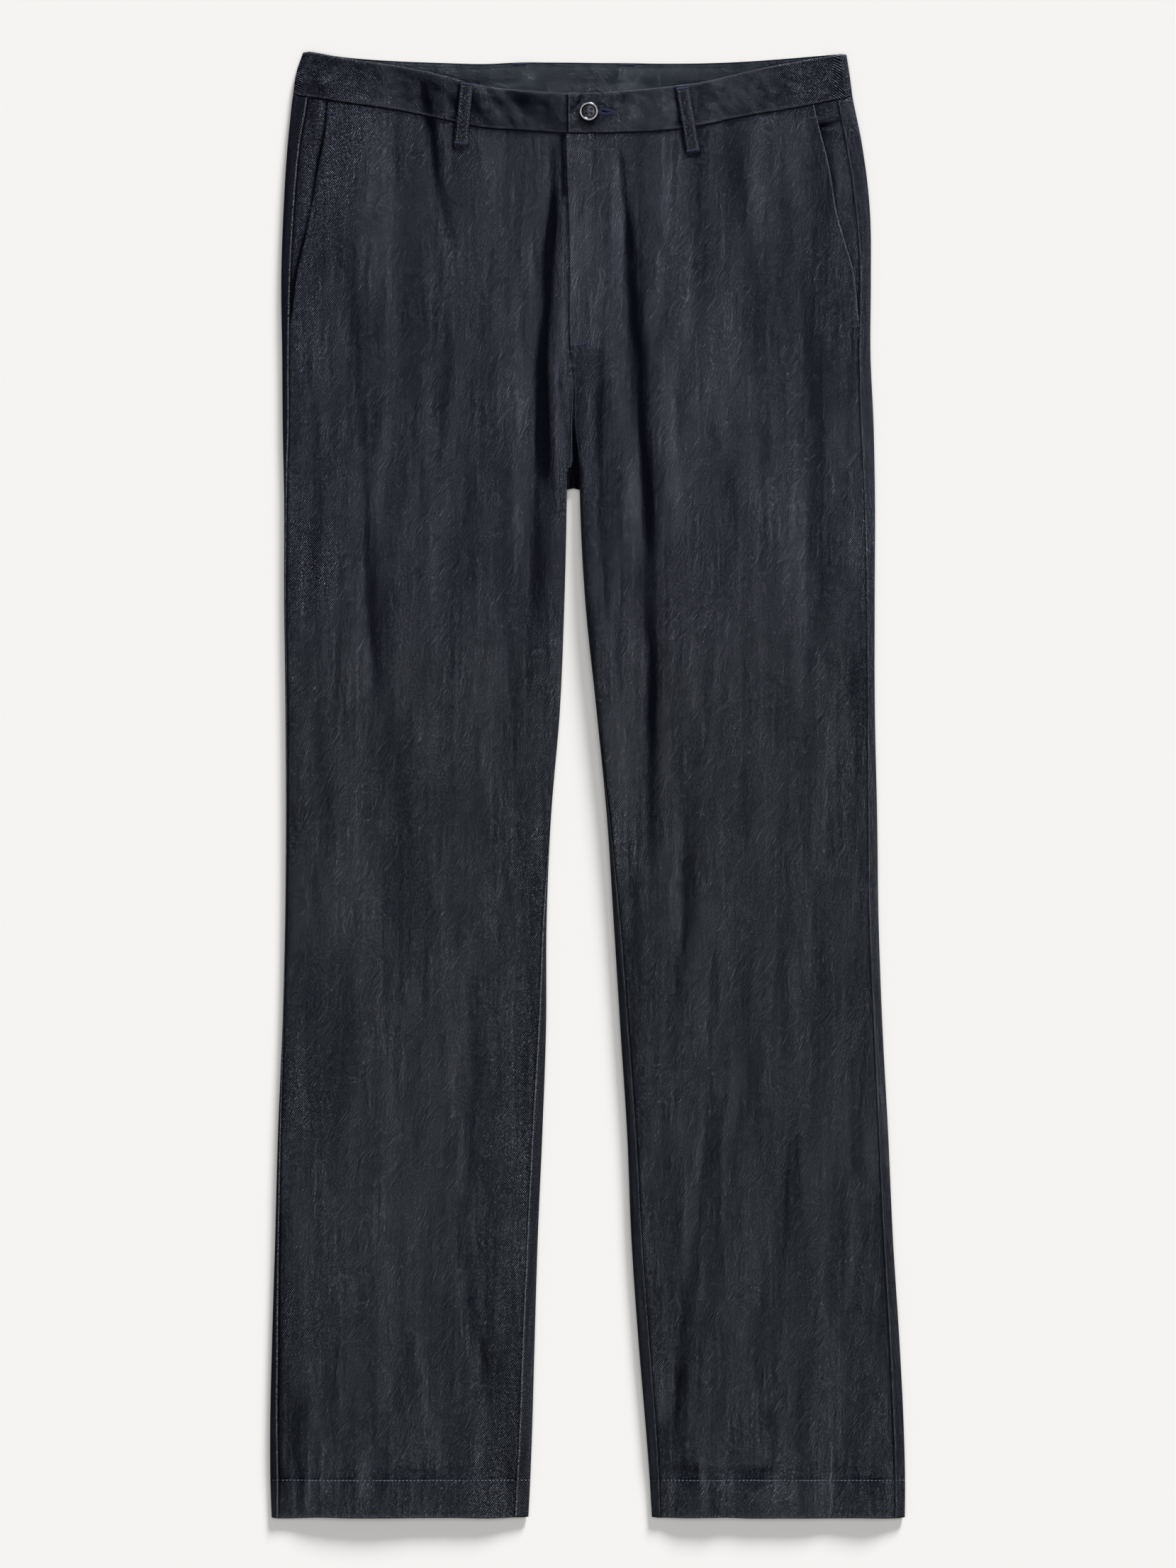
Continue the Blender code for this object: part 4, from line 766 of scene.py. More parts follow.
def wallMesh(name, face, lining, material, uv, fields, cells=None):
    # a closed wall between two grids of points, with a rim wherever its cells end
    rows, columns = face.shape[:2]
    if cells is None:
        cells = np.ones((rows - 1, columns - 1), bool)
    below = rows * columns
    index = np.arange(below).reshape(rows, columns)
    corners = np.stack([index[:-1, :-1], index[:-1, 1:], index[1:, 1:], index[1:, :-1]], axis=-1)
    faceSets = [corners[cells], corners[cells][:, ::-1] + below]
    beyond = np.pad(~cells, 1, constant_values=True)
    for k, (down, across) in enumerate(((-1, 0), (0, 1), (1, 0), (0, -1))):
        beside = beyond[1 + down : rows + down, 1 + across : columns + across]
        edge = corners[cells & beside]
        start, end = edge[:, k], edge[:, (k + 1) % 4]
        faceSets.append(np.stack([end, start, start + below, end + below], axis=-1))
    points = np.concatenate([face.reshape(-1, 3), lining.reshape(-1, 3)])
    bothUv = np.concatenate([uv.reshape(-1, 2), uv.reshape(-1, 2)])
    both = {key: np.concatenate([value.ravel(), value.ravel()]) for key, value in fields.items()}
    return putMesh(name, points, faceSets, material, bothUv, both)


def declareSheet(face, cells=None):
    # the steps along each row and the areas of the face's cells, which are worked out and not kept
    across = np.linalg.norm(np.diff(face, axis=1), axis=-1)
    diagonals = face[1:, 1:] - face[:-1, :-1], face[1:, :-1] - face[:-1, 1:]
    areas = 0.5 * np.linalg.norm(np.cross(*diagonals), axis=-1)
    if cells is not None:
        areas = areas * cells
        across = across[:-1] * cells


# Shader expressions: a wrapped socket whose operators add Math nodes.
class Wire:
    def __init__(self, tree, socket):
        self.tree, self.socket = tree, socket

    def node(self, kind, settings, out=0, **inputs):
        # any node: its settings first, then its sockets, by name or number, from wires or values
        made = self.tree.nodes.new(kind)
        for key, value in settings.items():
            setattr(made, key, value)
        for key, value in inputs.items():
            byNumber = key[0] == "i" and key[1:].isdigit()
            socket = made.inputs[int(key[1:]) if byNumber else key.replace("_", " ")]
            if isinstance(value, Wire):
                self.tree.links.new(value.socket, socket)
            else:
                socket.default_value = value
        return Wire(self.tree, made.outputs[out])

    def output(self, number):  # another output of the same node
        return Wire(self.tree, self.socket.node.outputs[number])

    def math(self, operation, other=None):
        inputs = {"i0": self} if other is None else {"i0": self, "i1": other}
        return self.node("ShaderNodeMath", {"operation": operation}, **inputs)

    def __add__(self, other):
        return self.math("ADD", other)

    __radd__ = __add__

    def __sub__(self, other):
        return self.math("SUBTRACT", other)

    def __rsub__(self, other):
        return (self * -1.0) + other

    def __mul__(self, other):
        return self.math("MULTIPLY", other)

    __rmul__ = __mul__

    def __truediv__(self, other):
        return self.math("DIVIDE", other)

    def __pow__(self, other):
        return self.math("POWER", other)

    def clamp(self):
        return self.node("ShaderNodeClamp", {}, i0=self)

    def ramp(self, low, high):  # 0 below low, 1 above high, smooth between
        settings = {"interpolation_type": "SMOOTHSTEP"}
        return self.node("ShaderNodeMapRange", settings, i0=self, i1=low, i2=high, i3=0.0, i4=1.0)


def newMaterial(name):  # with its shader and a wire to start expressions from
    material = bpy.data.materials.new(name)
    material.use_nodes = True
    shader = material.node_tree.nodes["Principled BSDF"]
    return material, shader, Wire(material.node_tree, None)


def colourMix(wire, factor, first, second):  # from the first colour to the second as the factor grows
    settings = {"data_type": "RGBA"}
    return wire.node("ShaderNodeMix", settings, out=2, i0=factor, i6=first, i7=second)


def noiseOn(wire, vector, scale, detail=2.0):  # soft noise from 0 to 1
    settings = {"noise_dimensions": "3D"}
    inputs = {"Vector": vector, "Scale": scale, "Detail": detail, "Roughness": 0.5}
    return wire.node("ShaderNodeTexNoise", settings, **inputs)


def spread(wire, across, along, height=0.0):  # three numbers as one vector
    return wire.node("ShaderNodeCombineXYZ", {}, i0=across, i1=along, i2=height)


denimLook = {
    "pitch": 0.00116,  # between two twill lines, in metres
    "slant": 54.0,  # degrees
    "shade": 0.0031,  # brightness of the plain cloth
    "dark": (0.0002, 0.0005, 0.0026, 1.0),  # what stays between the threads
    "light": (0.925, 1.0, 1.13, 1.0),  # tint of the threads
    "upper": (0.930, 0.985, 1.27, 1.0),  # and higher up, where less is washed out
    "worn": (0.30, 0.32, 0.35, 1.0),  # on rubbed edges, and as a painted highlight on the front loops' lit side
    "slub": (300.0, 16.0),
    "cloud": (62.0, 7.0),
    "bump": 0.00010,
}
bandLook = dict(denimLook, slub=(120.0, 200.0), cloud=(16.0, 60.0))
insideLook = {
    "pitch": 0.00110,
    "slant": 54.0,
    "shade": 0.0040,
    "dark": (0.0004, 0.0012, 0.0050, 1.0),
    "light": (0.89, 1.0, 1.17, 1.0),
    "upper": (0.89, 1.0, 1.20, 1.0),
    "worn": (0.28, 0.33, 0.40, 1.0),
    "slub": (60.0, 120.0),
    "cloud": (50.0, 20.0),
    "bump": 0.00010,
}


def denim(name, look):
    # twill: brightness is an exponential of slanted lines, of flecks drawn out along them, of glints and of
    # streaks down the cloth; the tone attribute, which carries painted shade and highlights besides the
    # cloth's own tone, scales it, and the edge attribute adds rubbed thread, which on the front loops' lit
    # side also stands for a painted highlight
    material, shader, wire = newMaterial(name)
    uv = wire.node("ShaderNodeUVMap", {"uv_map": "cloth"})
    u = wire.node("ShaderNodeSeparateXYZ", {}, i0=uv)
    v = u.output(1)
    tone = wire.node("ShaderNodeAttribute", {"attribute_name": "tone"}, out=2)
    edge = wire.node("ShaderNodeAttribute", {"attribute_name": "edge"}, out=2)
    matte = wire.node("ShaderNodeAttribute", {"attribute_name": "matte"}, out=2)
    cosine, sine = math.cos(math.radians(look["slant"])), math.sin(math.radians(look["slant"]))
    across = u * sine - v * cosine
    along = u * cosine + v * sine
    waver = noiseOn(wire, spread(wire, u, v), 160.0, 1.0) - 0.5
    line = ((across / look["pitch"] + waver * 0.8) * (2.0 * math.pi)).math("SINE")
    fleck = noiseOn(wire, spread(wire, across * 1200.0, along * 600.0), 1.0, 0.0) - 0.5
    speck = noiseOn(wire, spread(wire, u * 1500.0, v * 1400.0, 7.0), 1.0, 0.0) - 0.5
    glint = noiseOn(wire, spread(wire, u * 2700.0, v * 2300.0, 3.0), 1.0, 0.0) - 0.5
    slub = noiseOn(wire, spread(wire, u * look["slub"][0], v * look["slub"][1]), 1.0, 2.0) - 0.5
    cloud = noiseOn(wire, spread(wire, u * look["cloud"][0], v * look["cloud"][1]), 1.0, 2.0) - 0.5
    twill = (line * (fleck * 3.0 + 3.4) + fleck * 1.4) * (1.0 - matte * 0.7)
    field = twill + speck * 2.4 + glint * 2.6 + slub * 1.6 + cloud * 1.3 + matte * 1.7
    # the tone attribute lifts or lowers the brightness, painted shade and highlights included
    lift = (tone + 1.0).math("MAXIMUM", 0.05)
    bright = (field.math("EXPONENT") * lift * look["shade"]).clamp()
    tint = colourMix(wire, v.ramp(0.0, 0.34), look["light"], look["upper"])
    base = colourMix(wire, bright, look["dark"], tint)
    # rubbed thread, and on the front loops also a painted highlight
    rubbedAndLit = (edge * (line * 0.35 + fleck * 2.4 + 0.45)).clamp() * 0.8
    colour = colourMix(wire, rubbedAndLit, base, look["worn"])
    bump = wire.node("ShaderNodeBump", {}, Strength=0.5, Distance=look["bump"], Height=twill * 0.3 + slub)
    wire.tree.links.new(colour.socket, shader.inputs["Base Color"])
    wire.tree.links.new(bump.socket, shader.inputs["Normal"])
    shader.inputs["Roughness"].default_value = 0.88
    shader.inputs["Specular IOR Level"].default_value = 0.04
    return material


def threadFinish(name, colour):
    # sewing thread: the colour goes from 0.55 to 1.5 times itself with a fine noise in object space
    material, shader, wire = newMaterial(name)
    place = wire.node("ShaderNodeTexCoord", {}, out=3)
    twist = noiseOn(wire, place, 2600.0, 1.0).ramp(0.3, 0.7)
    dark = tuple(0.55 * c for c in colour[:3]) + (1.0,)
    light = tuple(1.5 * c for c in colour[:3]) + (1.0,)
    mixed = colourMix(wire, twist, dark, light)
    wire.tree.links.new(mixed.socket, shader.inputs["Base Color"])
    shader.inputs["Roughness"].default_value = 0.7
    shader.inputs["Specular IOR Level"].default_value = 0.3
    return material


denimMaterial = denim("denim", denimLook)
bandMaterial = denim("bandDenim", bandLook)
insideMaterial = denim("denimInside", insideLook)
threadMaterial = threadFinish("navyThread", (0.012, 0.014, 0.034, 1.0))
holeThreadMaterial = threadFinish("blueThread", (0.010, 0.013, 0.040, 1.0))
tackMaterial = threadFinish("violetThread", (0.022, 0.026, 0.066, 1.0))
loopThreadMaterial = threadFinish("paleThread", (0.060, 0.070, 0.115, 1.0))
hemThreadMaterial = threadFinish("greyThread", (0.135, 0.150, 0.200, 1.0))
print("materials are made")


def clothUv(face, anchor, turn="panel"):
    # along the cloth, with x itself where the anchor column is; the band and facing are cut across
    step = np.linalg.norm(np.diff(face[..., (0, 2)], axis=1), axis=-1)
    way = np.concatenate([np.zeros((len(face), 1)), np.cumsum(step, axis=1)], axis=1)
    sign = np.sign(face[:, -1:, 0] - face[:, :1, 0])
    u = face[:, anchor : anchor + 1, 0] + sign * (way - way[:, anchor : anchor + 1])
    if turn == "band":
        return np.stack([-u, face[..., 1]], axis=-1)
    if turn == "facing":
        return np.stack([-face[..., 1], u], axis=-1)
    return np.stack([u, face[..., 1]], axis=-1)


layPasses = 4  # the rows' heights depend on x and x on the heights, so both are found in turns
frontCut = {
    "rowStep": 2.55,
    "columns": 78,  # between those beside the two edges
    "near": (0.0, 0.35, 0.8, 1.4, 2.2, 3.2, 4.4, 5.8),  # the columns beside an edge, by way along the cloth
    "nearReach": 7.6,
}
frontLook = {
    # openingDark is painted shade along the right front's edge at the pocket opening, and openingEdge is
    # rubbed thread
    "right": {"openingDark": 0.9, "openingEdge": 0.0},
    "left": {"openingDark": 0.0, "openingEdge": 0.45},
    "seam": 0.40,  # the dark line at the side seam
    "inseam": 0.35,
    "band": 0.85,  # and under the waistband
    "underBand": 0.12,
    "besideFly": 0.45,  # the painted highlight on the right front beside the fly
    "flyLight": 0.42,  # on the left front, the lighter stretch beside the fly's edge
    # a painted highlight on the ridge just in from the fly's edge
    "flyRidge": 0.30,
    "flyEdge": 0.25,  # rubbed thread at the fly's edge and at the hem's end
}
flyStreakRows = ((0.22, 4.2, 70.0, 18), (0.12, 2.4, 30.0, 19))


def frontTone(x, y, side, fromOuter, fromInner, fromBand, onPocket, onFly):
    # the cloth's tone, with dark lines at its seams and edges, painted shade at the outer edges and the right
    # pocket's opening, and light and dark stripes beside the fly, which on the right front are a painted
    # highlight and a painted shadow
    pastFly = x - centreAt(y)
    tone = toneAt(x, y) - edgeShade(x, y, side)
    tone = tone - frontLook["seam"] * nearEnd(fromOuter, 1.0) * (1.0 - onPocket)
    tone = tone - frontLook["inseam"] * nearEnd(fromInner, 1.2) * (1.0 - onFly)
    tone = darkLine(tone, fromBand, 1.3, frontLook["band"])
    tone = tone - frontLook["underBand"] * nearEnd(fromBand - 3.0, 3.0)
    if side == "right":
        besideFly = smooth((y - 345.0) / 12.0) * smooth((468.0 - y) / 25.0)
        tone = tone + frontLook["besideFly"] * besideFly * nearEnd(pastFly + 2.6, 1.7)
        # the painted shadow that the left front's edge casts on the right front
        tone = darkLine(tone, pastFly - 0.2, 1.05, share=smooth((y - 338.0) / 6.0))
    else:
        tone = tone + frontLook["flyLight"] * onFly * (1.0 - smooth((pastFly - fly["lightWidth"]) / 14.0))
        # a painted highlight on the ridge beside the fly's edge
        tone = tone + frontLook["flyRidge"] * onFly * nearEnd(fromInner - 4.0, 3.6)
        onWidth = 1.0 - smooth((pastFly - fly["lightWidth"]) / 10.0)
        tone = tone + onFly * onWidth * mottles(x, y, flyStreakRows)
    # painted shade along the right pocket's opening
    return tone - frontLook[side]["openingDark"] * nearEnd(fromOuter, 1.25) * onPocket


def frontPanel(side):
    # from the side seam or pocket opening over the leg to the fly, crotch seam or inseam: a row is a way
    # along the cloth that turns over the folded edges, and is straight on top between them
    sign = sides[side]
    rows = panelRows(frontCut["rowStep"])
    near = np.array(frontCut["near"])
    even = np.linspace(0.0, 1.0, frontCut["columns"])
    count = len(near)
    columns = len(even) + 2 * count
    y = np.repeat(rows[:, None], columns, axis=1)
    besidePocket = (rows >= pocket["end"])[:, None]
    for _ in range(layPasses):
        outer = legAt(y, side, "outer")
        inset = np.where(besidePocket, openingAt(y, side), legAt(y, side, "sideSeam"))
        start = wayOver(inset) + 0.5 * lay["seamGap"]
        joined = y > lay["crotch"]
        overlap = fly["overlap"] * smooth((y - fly["end"]) / fly["endRun"]) if side == "right" else 0.0
        seam = centreAt(y) + overlap + sign * (0.5 * lay["seamGap"] + wedgeAt(y, side))
        inner = np.where(joined, seam, legAt(y, side, "inner"))
        across = np.abs(inner - outer) - lay["edgeWidth"] + arcOver
        width = np.where(joined, across, across - lay["edgeWidth"] + arcOver)
        inseam = wayOver(legAt(y, side, "inseam")) + 0.5 * lay["seamGap"]
        end = width - np.where(joined, 0.0, inseam)
        first, last = start + frontCut["nearReach"], end - frontCut["nearReach"]
        middle = first[:, count:-count] + (last - first)[:, count:-count] * even
        way = np.concatenate([start[:, :count] + near, middle, end[:, -count:] - near[::-1]], axis=1)
        insetOuter, shareOuter = overEdge(way)
        insetInner, shareInner = overEdge(width - way)
        insetInner = np.where(joined, width - way, insetInner)
        shareInner = np.where(joined, 1.0, shareInner)
        x = np.where(way < 0.5 * width, outer - sign * insetOuter, inner + sign * insetInner)
        y = rowHeight(rows, x, False)
        y[0] -= 0.5 * lay["seamGap"]
        y = y + hemShape(x, rows, side)
    rise = shareOuter + shareInner - 1.0
    z = lay["edgeRadius"] + (frontLevel(x, y, side) - lay["edgeRadius"]) * rise
    face = np.stack([x, y, z], axis=-1)
    wall = panelWall(y)
    lining = liningOf(face, wall, -sign)
    # the sewn edges round down, and the plain seams dip
    fromOuter, fromInner = way - start, end - way
    fromBand = rows[0] - rows[:, None] + 0.0 * x
    fromHem = rows[:, None] - lay["hemEnd"] + 0.0 * x
    onPocket = smooth((y - pocket["end"]) / 8.0 + 1.0)
    onFly = smooth((y - fly["end"]) / 8.0 + 1.0) if side == "left" else 0.0 * y
    drop = rounded(fromOuter, lay["sewnDrop"]) * onPocket + rounded(fromInner, lay["sewnDrop"]) * onFly
    drop = drop + rounded(fromHem, lay["endDrop"])
    dip = nearEnd(fromOuter, 0.9) * (1.0 - onPocket) + nearEnd(fromInner, 0.9) * (1.0 - onFly)
    face[..., 2] -= np.minimum(drop + lay["seamDip"] * dip, 0.9 * wall)
    tone = frontTone(x, y, side, fromOuter, fromInner, fromBand, onPocket, onFly)
    edge = frontLook[side]["openingEdge"] * nearEnd(fromOuter - 0.6, 0.5) * onPocket
    edge = edge + frontLook["flyEdge"] * (nearEnd(fromInner - 0.5, 0.6) * onFly + nearEnd(fromHem - 0.6, 1.2))
    fields = {"tone": tone, "edge": edge, "matte": 0.0 * x}
    uv = clothUv(face, columns // 2)
    piece = wallMesh(f"front_{side}_cloth", face, lining, denimMaterial, uv, fields)
    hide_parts(f"front_panel_{side}")
    declareSheet(face)
    return face


backCut = {
    "rowStep": 3.4,
    "near": (0.0, 0.3, 0.7, 1.15, 1.7, 2.3, 3.0),  # the columns beside a seam, by way along the cloth
    "turnColumns": 15,  # from there round the edge to the floor
    "wide": (184.0, 60.0, 20),  # columns on the floor, by distance from the inner edge
    "close": (56.0, 6.0, 15),
    "rope": 0.75,  # half the width of a seam's swelling
    "ropeAt": 1.15,
    "crease": 0.35,  # the soft creases underneath
}
stripLook = {
    # tone is painted shade on the right leg's side strip, which faces away from the key light, and a painted
    # highlight on the left leg's, which faces it; inseamTone is painted shade on the inner strips, most on
    # the left leg's
    "right": {"matte": 0.9, "tone": -0.26, "inseamTone": -0.12, "rope": 0.40, "edge": 0.75},
    "left": {"matte": 0.15, "tone": 0.16, "inseamTone": -0.42, "rope": 0.22, "edge": 0.30},
    "inseamMatte": 0.8,
    "under": 0.25,  # matte underneath
    "hips": 0.18,  # how much darker the side strips are higher up
}
gapLook = {"right": (0.35, 0.5), "left": (0.90, 0.8)}  # how dark the seam's gap is, and half its width


def backSpots(side, rows):
    # points of the back panel: from the side seam over the folded edge to the floor, across the floor, and
    # above the crotch to the centre-back seam or below it round the inner edge to the inseam
    sign = sides[side]
    floorSteps = np.concatenate([np.linspace(*backCut["wide"]), np.linspace(*backCut["close"]), [0.0]])
    nearSeam = np.array(backCut["near"])
    rest = np.linspace(0.0, 1.0, backCut["turnColumns"] + 1)[1:]
    endEdge = len(nearSeam) + len(rest)
    endFloor = endEdge + len(floorSteps)
    y = np.repeat(rows[:, None], endFloor + endEdge - 1, axis=1)
    aboveCrotch = (rows > lay["crotch"])[:, None]
    split = (rows > lay["backCrotch"])[:, None]
    centre = lay["centreBack"] + sign * lay["join"]

    def fromTheSeam(seam):  # distances along the cloth: close beside the seam, then even to the floor
        reach = nearSeam[-1] + (seam[:, :1] + arcUnder - nearSeam[-1]) * rest
        return np.concatenate([nearSeam + 0.0 * seam[:, :1], reach], axis=1)

    def level(x, height):  # what the edges rise to
        return clothLevel(x, height, side)

    def innerLevel(x, height):  # above the crotch there is no inner edge to rise over
        return np.where(split, lay["edgeRadius"] + 0.6, clothLevel(x, height, side))

    for _ in range(layPasses):
        edgeY, _floorY, innerY = np.split(y, [endEdge, endFloor], axis=1)
        seam = wayOver(legAt(edgeY, side, "sideSeam")) - 0.5 * lay["seamGap"]
        fromSeam = fromTheSeam(seam)
        outerX, outerZ = edgePoint(seam - fromSeam, edgeY, legAt(edgeY, side, "outer"), -sign, level)
        inner = np.where(split, centre, legAt(innerY, side, "inner"))
        last = np.where(aboveCrotch, centre, inner[:, :1] + sign * lay["edgeRadius"])
        floorX = last + sign * floorSteps
        inseam = wayOver(legAt(innerY, side, "inseam")) - 0.5 * lay["seamGap"]
        fromInseam = fromTheSeam(inseam)[:, ::-1][:, 1:]
        innerX, innerZ = edgePoint(inseam - fromInseam, innerY, inner, sign, innerLevel)
        x = np.concatenate([outerX, floorX, innerX], axis=1)
        onTop = np.zeros(x.shape, bool)
        onTop[:, :endEdge] = seam - fromSeam > 0.0
        y = np.where(onTop, rowHeight(rows, x, False), rowHeight(rows, x, True))
        y[0] -= 0.5 * lay["seamGap"]
        y = y + hemShape(x, rows, side)
    floorY = y[:, endEdge:endFloor]
    creaseUp = smooth(1.4 * wander(floorX, floorY, 23.0, 150.0, 21)) * smooth((floorX - last) * sign / 14.0)
    creaseUp = creaseUp * smooth((500.0 - floorY) / 30.0) * smooth((floorY + 545.0) / 20.0)
    floorZ = floorLift(floorX, floorY) + backCut["crease"] * creaseUp
    face = np.stack([x, y, np.concatenate([outerZ, floorZ, innerZ], axis=1)], axis=-1)
    # the way up from the folded edge and the distance from the seam, with far values on the floor
    ways = np.concatenate([seam - fromSeam, np.full(floorX.shape, -50.0), inseam - fromInseam], axis=1)
    gap = np.concatenate([fromSeam, np.full(floorX.shape, 50.0), fromInseam], axis=1)
    return face, ways, gap, endEdge, endFloor


def backPanel(side):
    # flat on the floor, and round both edges of the leg to the seams on top
    sign = sides[side]
    rows = panelRows(backCut["rowStep"])
    face, ways, gap, endEdge, endFloor = backSpots(side, rows)
    x, y = face[..., 0], face[..., 1]
    wall = panelWall(y)
    lining = face + wall[..., None] * np.array([0.0, 0.0, 1.0])
    lining[:, :endEdge] = liningOf(face[:, :endEdge], wall[:, :endEdge], sign)
    lining[:, endFloor:] = liningOf(face[:, endFloor - 1 :], wall[:, endFloor - 1 :], sign)[:, 1:]
    lining[..., 2] = np.maximum(lining[..., 2], lay["leastFloor"])
    # a swelling along each seam; the hem's end rounds down on top and up underneath
    look = stripLook[side]
    onSeam = smooth(1.0 + ways / 2.0)
    rope = look["rope"] * nearEnd(gap - backCut["ropeAt"], backCut["rope"]) * onSeam
    atHem = np.minimum(rounded(rows[:, None] - lay["hemEnd"] + 0.0 * x, lay["endDrop"]), 0.8)
    face[..., 2] += rope - np.where(ways > 0.0, atHem, -atHem)
    onStrip = smooth((ways + 3.0) / 4.0)
    inside = np.zeros(x.shape)
    inside[:, endFloor:] = 1.0
    matte = onStrip * np.where(inside > 0.5, stripLook["inseamMatte"], look["matte"])
    matte = (matte + stripLook["under"] * (1.0 - onStrip)) * (1.0 - nearEnd(gap - 1.3, 0.9))
    tone = toneAt(x, y) * np.where(onStrip > 0.5, 0.4, 0.5)
    # the side strips' painted shade and highlight, and the inner strips' painted shade
    tone = tone + onStrip * np.where(inside > 0.5, look["inseamTone"], look["tone"])
    gapDark, gapWidth = gapLook[side]
    tone = tone - gapDark * nearEnd(gap - 0.1, gapWidth) - edgeShade(x, y, side) * onStrip
    tone = tone - onStrip * (1.0 - inside) * stripLook["hips"] * smooth((y - 150.0) / 150.0)
    # where the back shows between the thighs it is painted in shadow, darkest along its seam
    betweenThighs = smooth((y - 222.0) / 6.0) * smooth((310.0 - y) / 20.0)
    tone = tone - 0.95 * nearEnd(x - lay["centreBack"], 9.0) * betweenThighs
    edge = look["edge"] * nearEnd(gap - 1.1, 0.42) * onSeam
    fields = {"tone": tone, "edge": edge, "matte": matte}
    cells = np.ones((len(rows) - 1, x.shape[1] - 1), bool)
    cells[(rows > lay["crotch"])[1:], endFloor - 1 :] = False
    uv = clothUv(face, endEdge + 4)
    piece = wallMesh(f"back_{side}_cloth", face, lining, denimMaterial, uv, fields, cells)
    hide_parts(f"back_panel_{side}")
    declareSheet(face, cells)
    return face


facingCut = {"rowStep": 2.4, "shown": (0.16, 0.97, 13), "matte": 0.1}
facingLook = {
    # painted shade beside the side seam, painted shadow under the opening's edge and half its width, and a
    # light stripe:
    # its strength, its place before the opening and half its width
    "right": {"seam": 0.45, "under": (0.95, 1.9), "light": (0.12, 5.5, 3.0)},
    "left": {"seam": 0.0, "under": (0.5, 1.6), "light": (0.10, 9.0, 5.0)},
}


def pocketFacing(side):
    # the side piece beside a pocket opening, which goes on under the front: a share of the way from the
    # side seam to the opening, and then a width under the front
    sign = sides[side]
    rows = panelRows(facingCut["rowStep"])
    foot = pocket["end"] + 1.0
    rows = np.append(rows[rows > foot], foot)
    hidden = np.linspace(0.0, 1.0, 4)
    shown = np.concatenate([[0.0, 0.03, 0.08], np.linspace(*facingCut["shown"]), 0.0 * hidden + 1.0])
    under = np.concatenate([np.zeros(len(shown) - len(hidden)), hidden])
    y = np.repeat(rows[:, None], len(shown), axis=1)
    for _ in range(layPasses):
        start = legAt(y, side, "sideSeam") + 0.5 * lay["seamGap"]
        inset = start + (openingAt(y, side) - start) * shown + pocket["under"] * under
        x = legAt(y, side, "outer") - sign * inset
        y = rowHeight(rows, x, False)
        y[0] -= 0.5 * lay["seamGap"]
    face = np.stack([x, y, facingLevel(x, y, side)], axis=-1)
    lining = face - np.array([0.0, 0.0, pocket["wall"]])
    fromSeam = inset - start
    past = pastOpening(x, y, side)
    face[..., 2] -= lay["seamDip"] * nearEnd(fromSeam, 0.9)
    look = facingLook[side]
    underDark, underWidth = look["under"]
    light, lightAt, lightWidth = look["light"]
    # a dark line at the seam, and painted shade beside it
    tone = toneAt(x, y) - 0.55 * nearEnd(fromSeam, 1.1) - look["seam"] * nearEnd(fromSeam - 1.0, 5.0)
    # the painted shadow of the front's edge over the facing
    tone = tone - underDark * nearEnd(np.minimum(past, 0.0), underWidth)
    tone = tone + light * nearEnd(past + lightAt, lightWidth)
    tone = darkLine(tone, rows[0] - rows[:, None], 1.0, 0.75)
    fields = {"tone": tone, "edge": 0.0 * x, "matte": facingCut["matte"] + 0.0 * x}
    piece = wallMesh(f"pocket_{side}_cloth", face, lining, denimMaterial, clothUv(face, 8), fields)
    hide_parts(f"pocket_facing_{side}")
    declareSheet(face)


bandCut = {
    "columns": 180,  # on each half in front
    "tabColumns": 12,
    "sinkColumns": 6,
    "turnColumns": 15,
    "backColumns": 150,
    "rightEnd": -212.0,  # where the halves in front and the back end, beside the folded edges
    "leftEnd": 190.0,
    "backRight": -213.0,
    "backLeft": 193.0,
    "near": (3.2, 2.2, 1.4, 0.8, 0.35, 0.0),  # the columns beside the left end
    "corner": 1.1,  # how far the upper corners are rounded
    "belly": 0.35,  # the front stands up between its seams
    "seamDrop": 0.7,
    "topDrop": 1.0,
    "endDrop": 0.9,
}
bandTone = {
    "plain": -0.17,
    "folds": 0.6,  # share of the panels' tone, with its painted shade and highlights, that reaches it, and of the creases' painted shade
    "creases": 0.4,
    "left": 0.16,  # the left half is lighter and more mottled
    "leftMottles": 0.55,
    "right": 0.06,
    "button": (1.1, 520.9),  # the painted shadow round the button
    "buttonReach": 7.6,
    "matte": 0.15,
}
bandReliefRows = ((0.30, 13.0, 21.0, 31), (0.18, 5.5, 12.0, 32))
bandMottleRows = ((0.22, 17.0, 9.0, 33), (0.16, 7.0, 5.0, 34))
bandCloudRows = ((0.12, 40.0, 14.0, 35),)


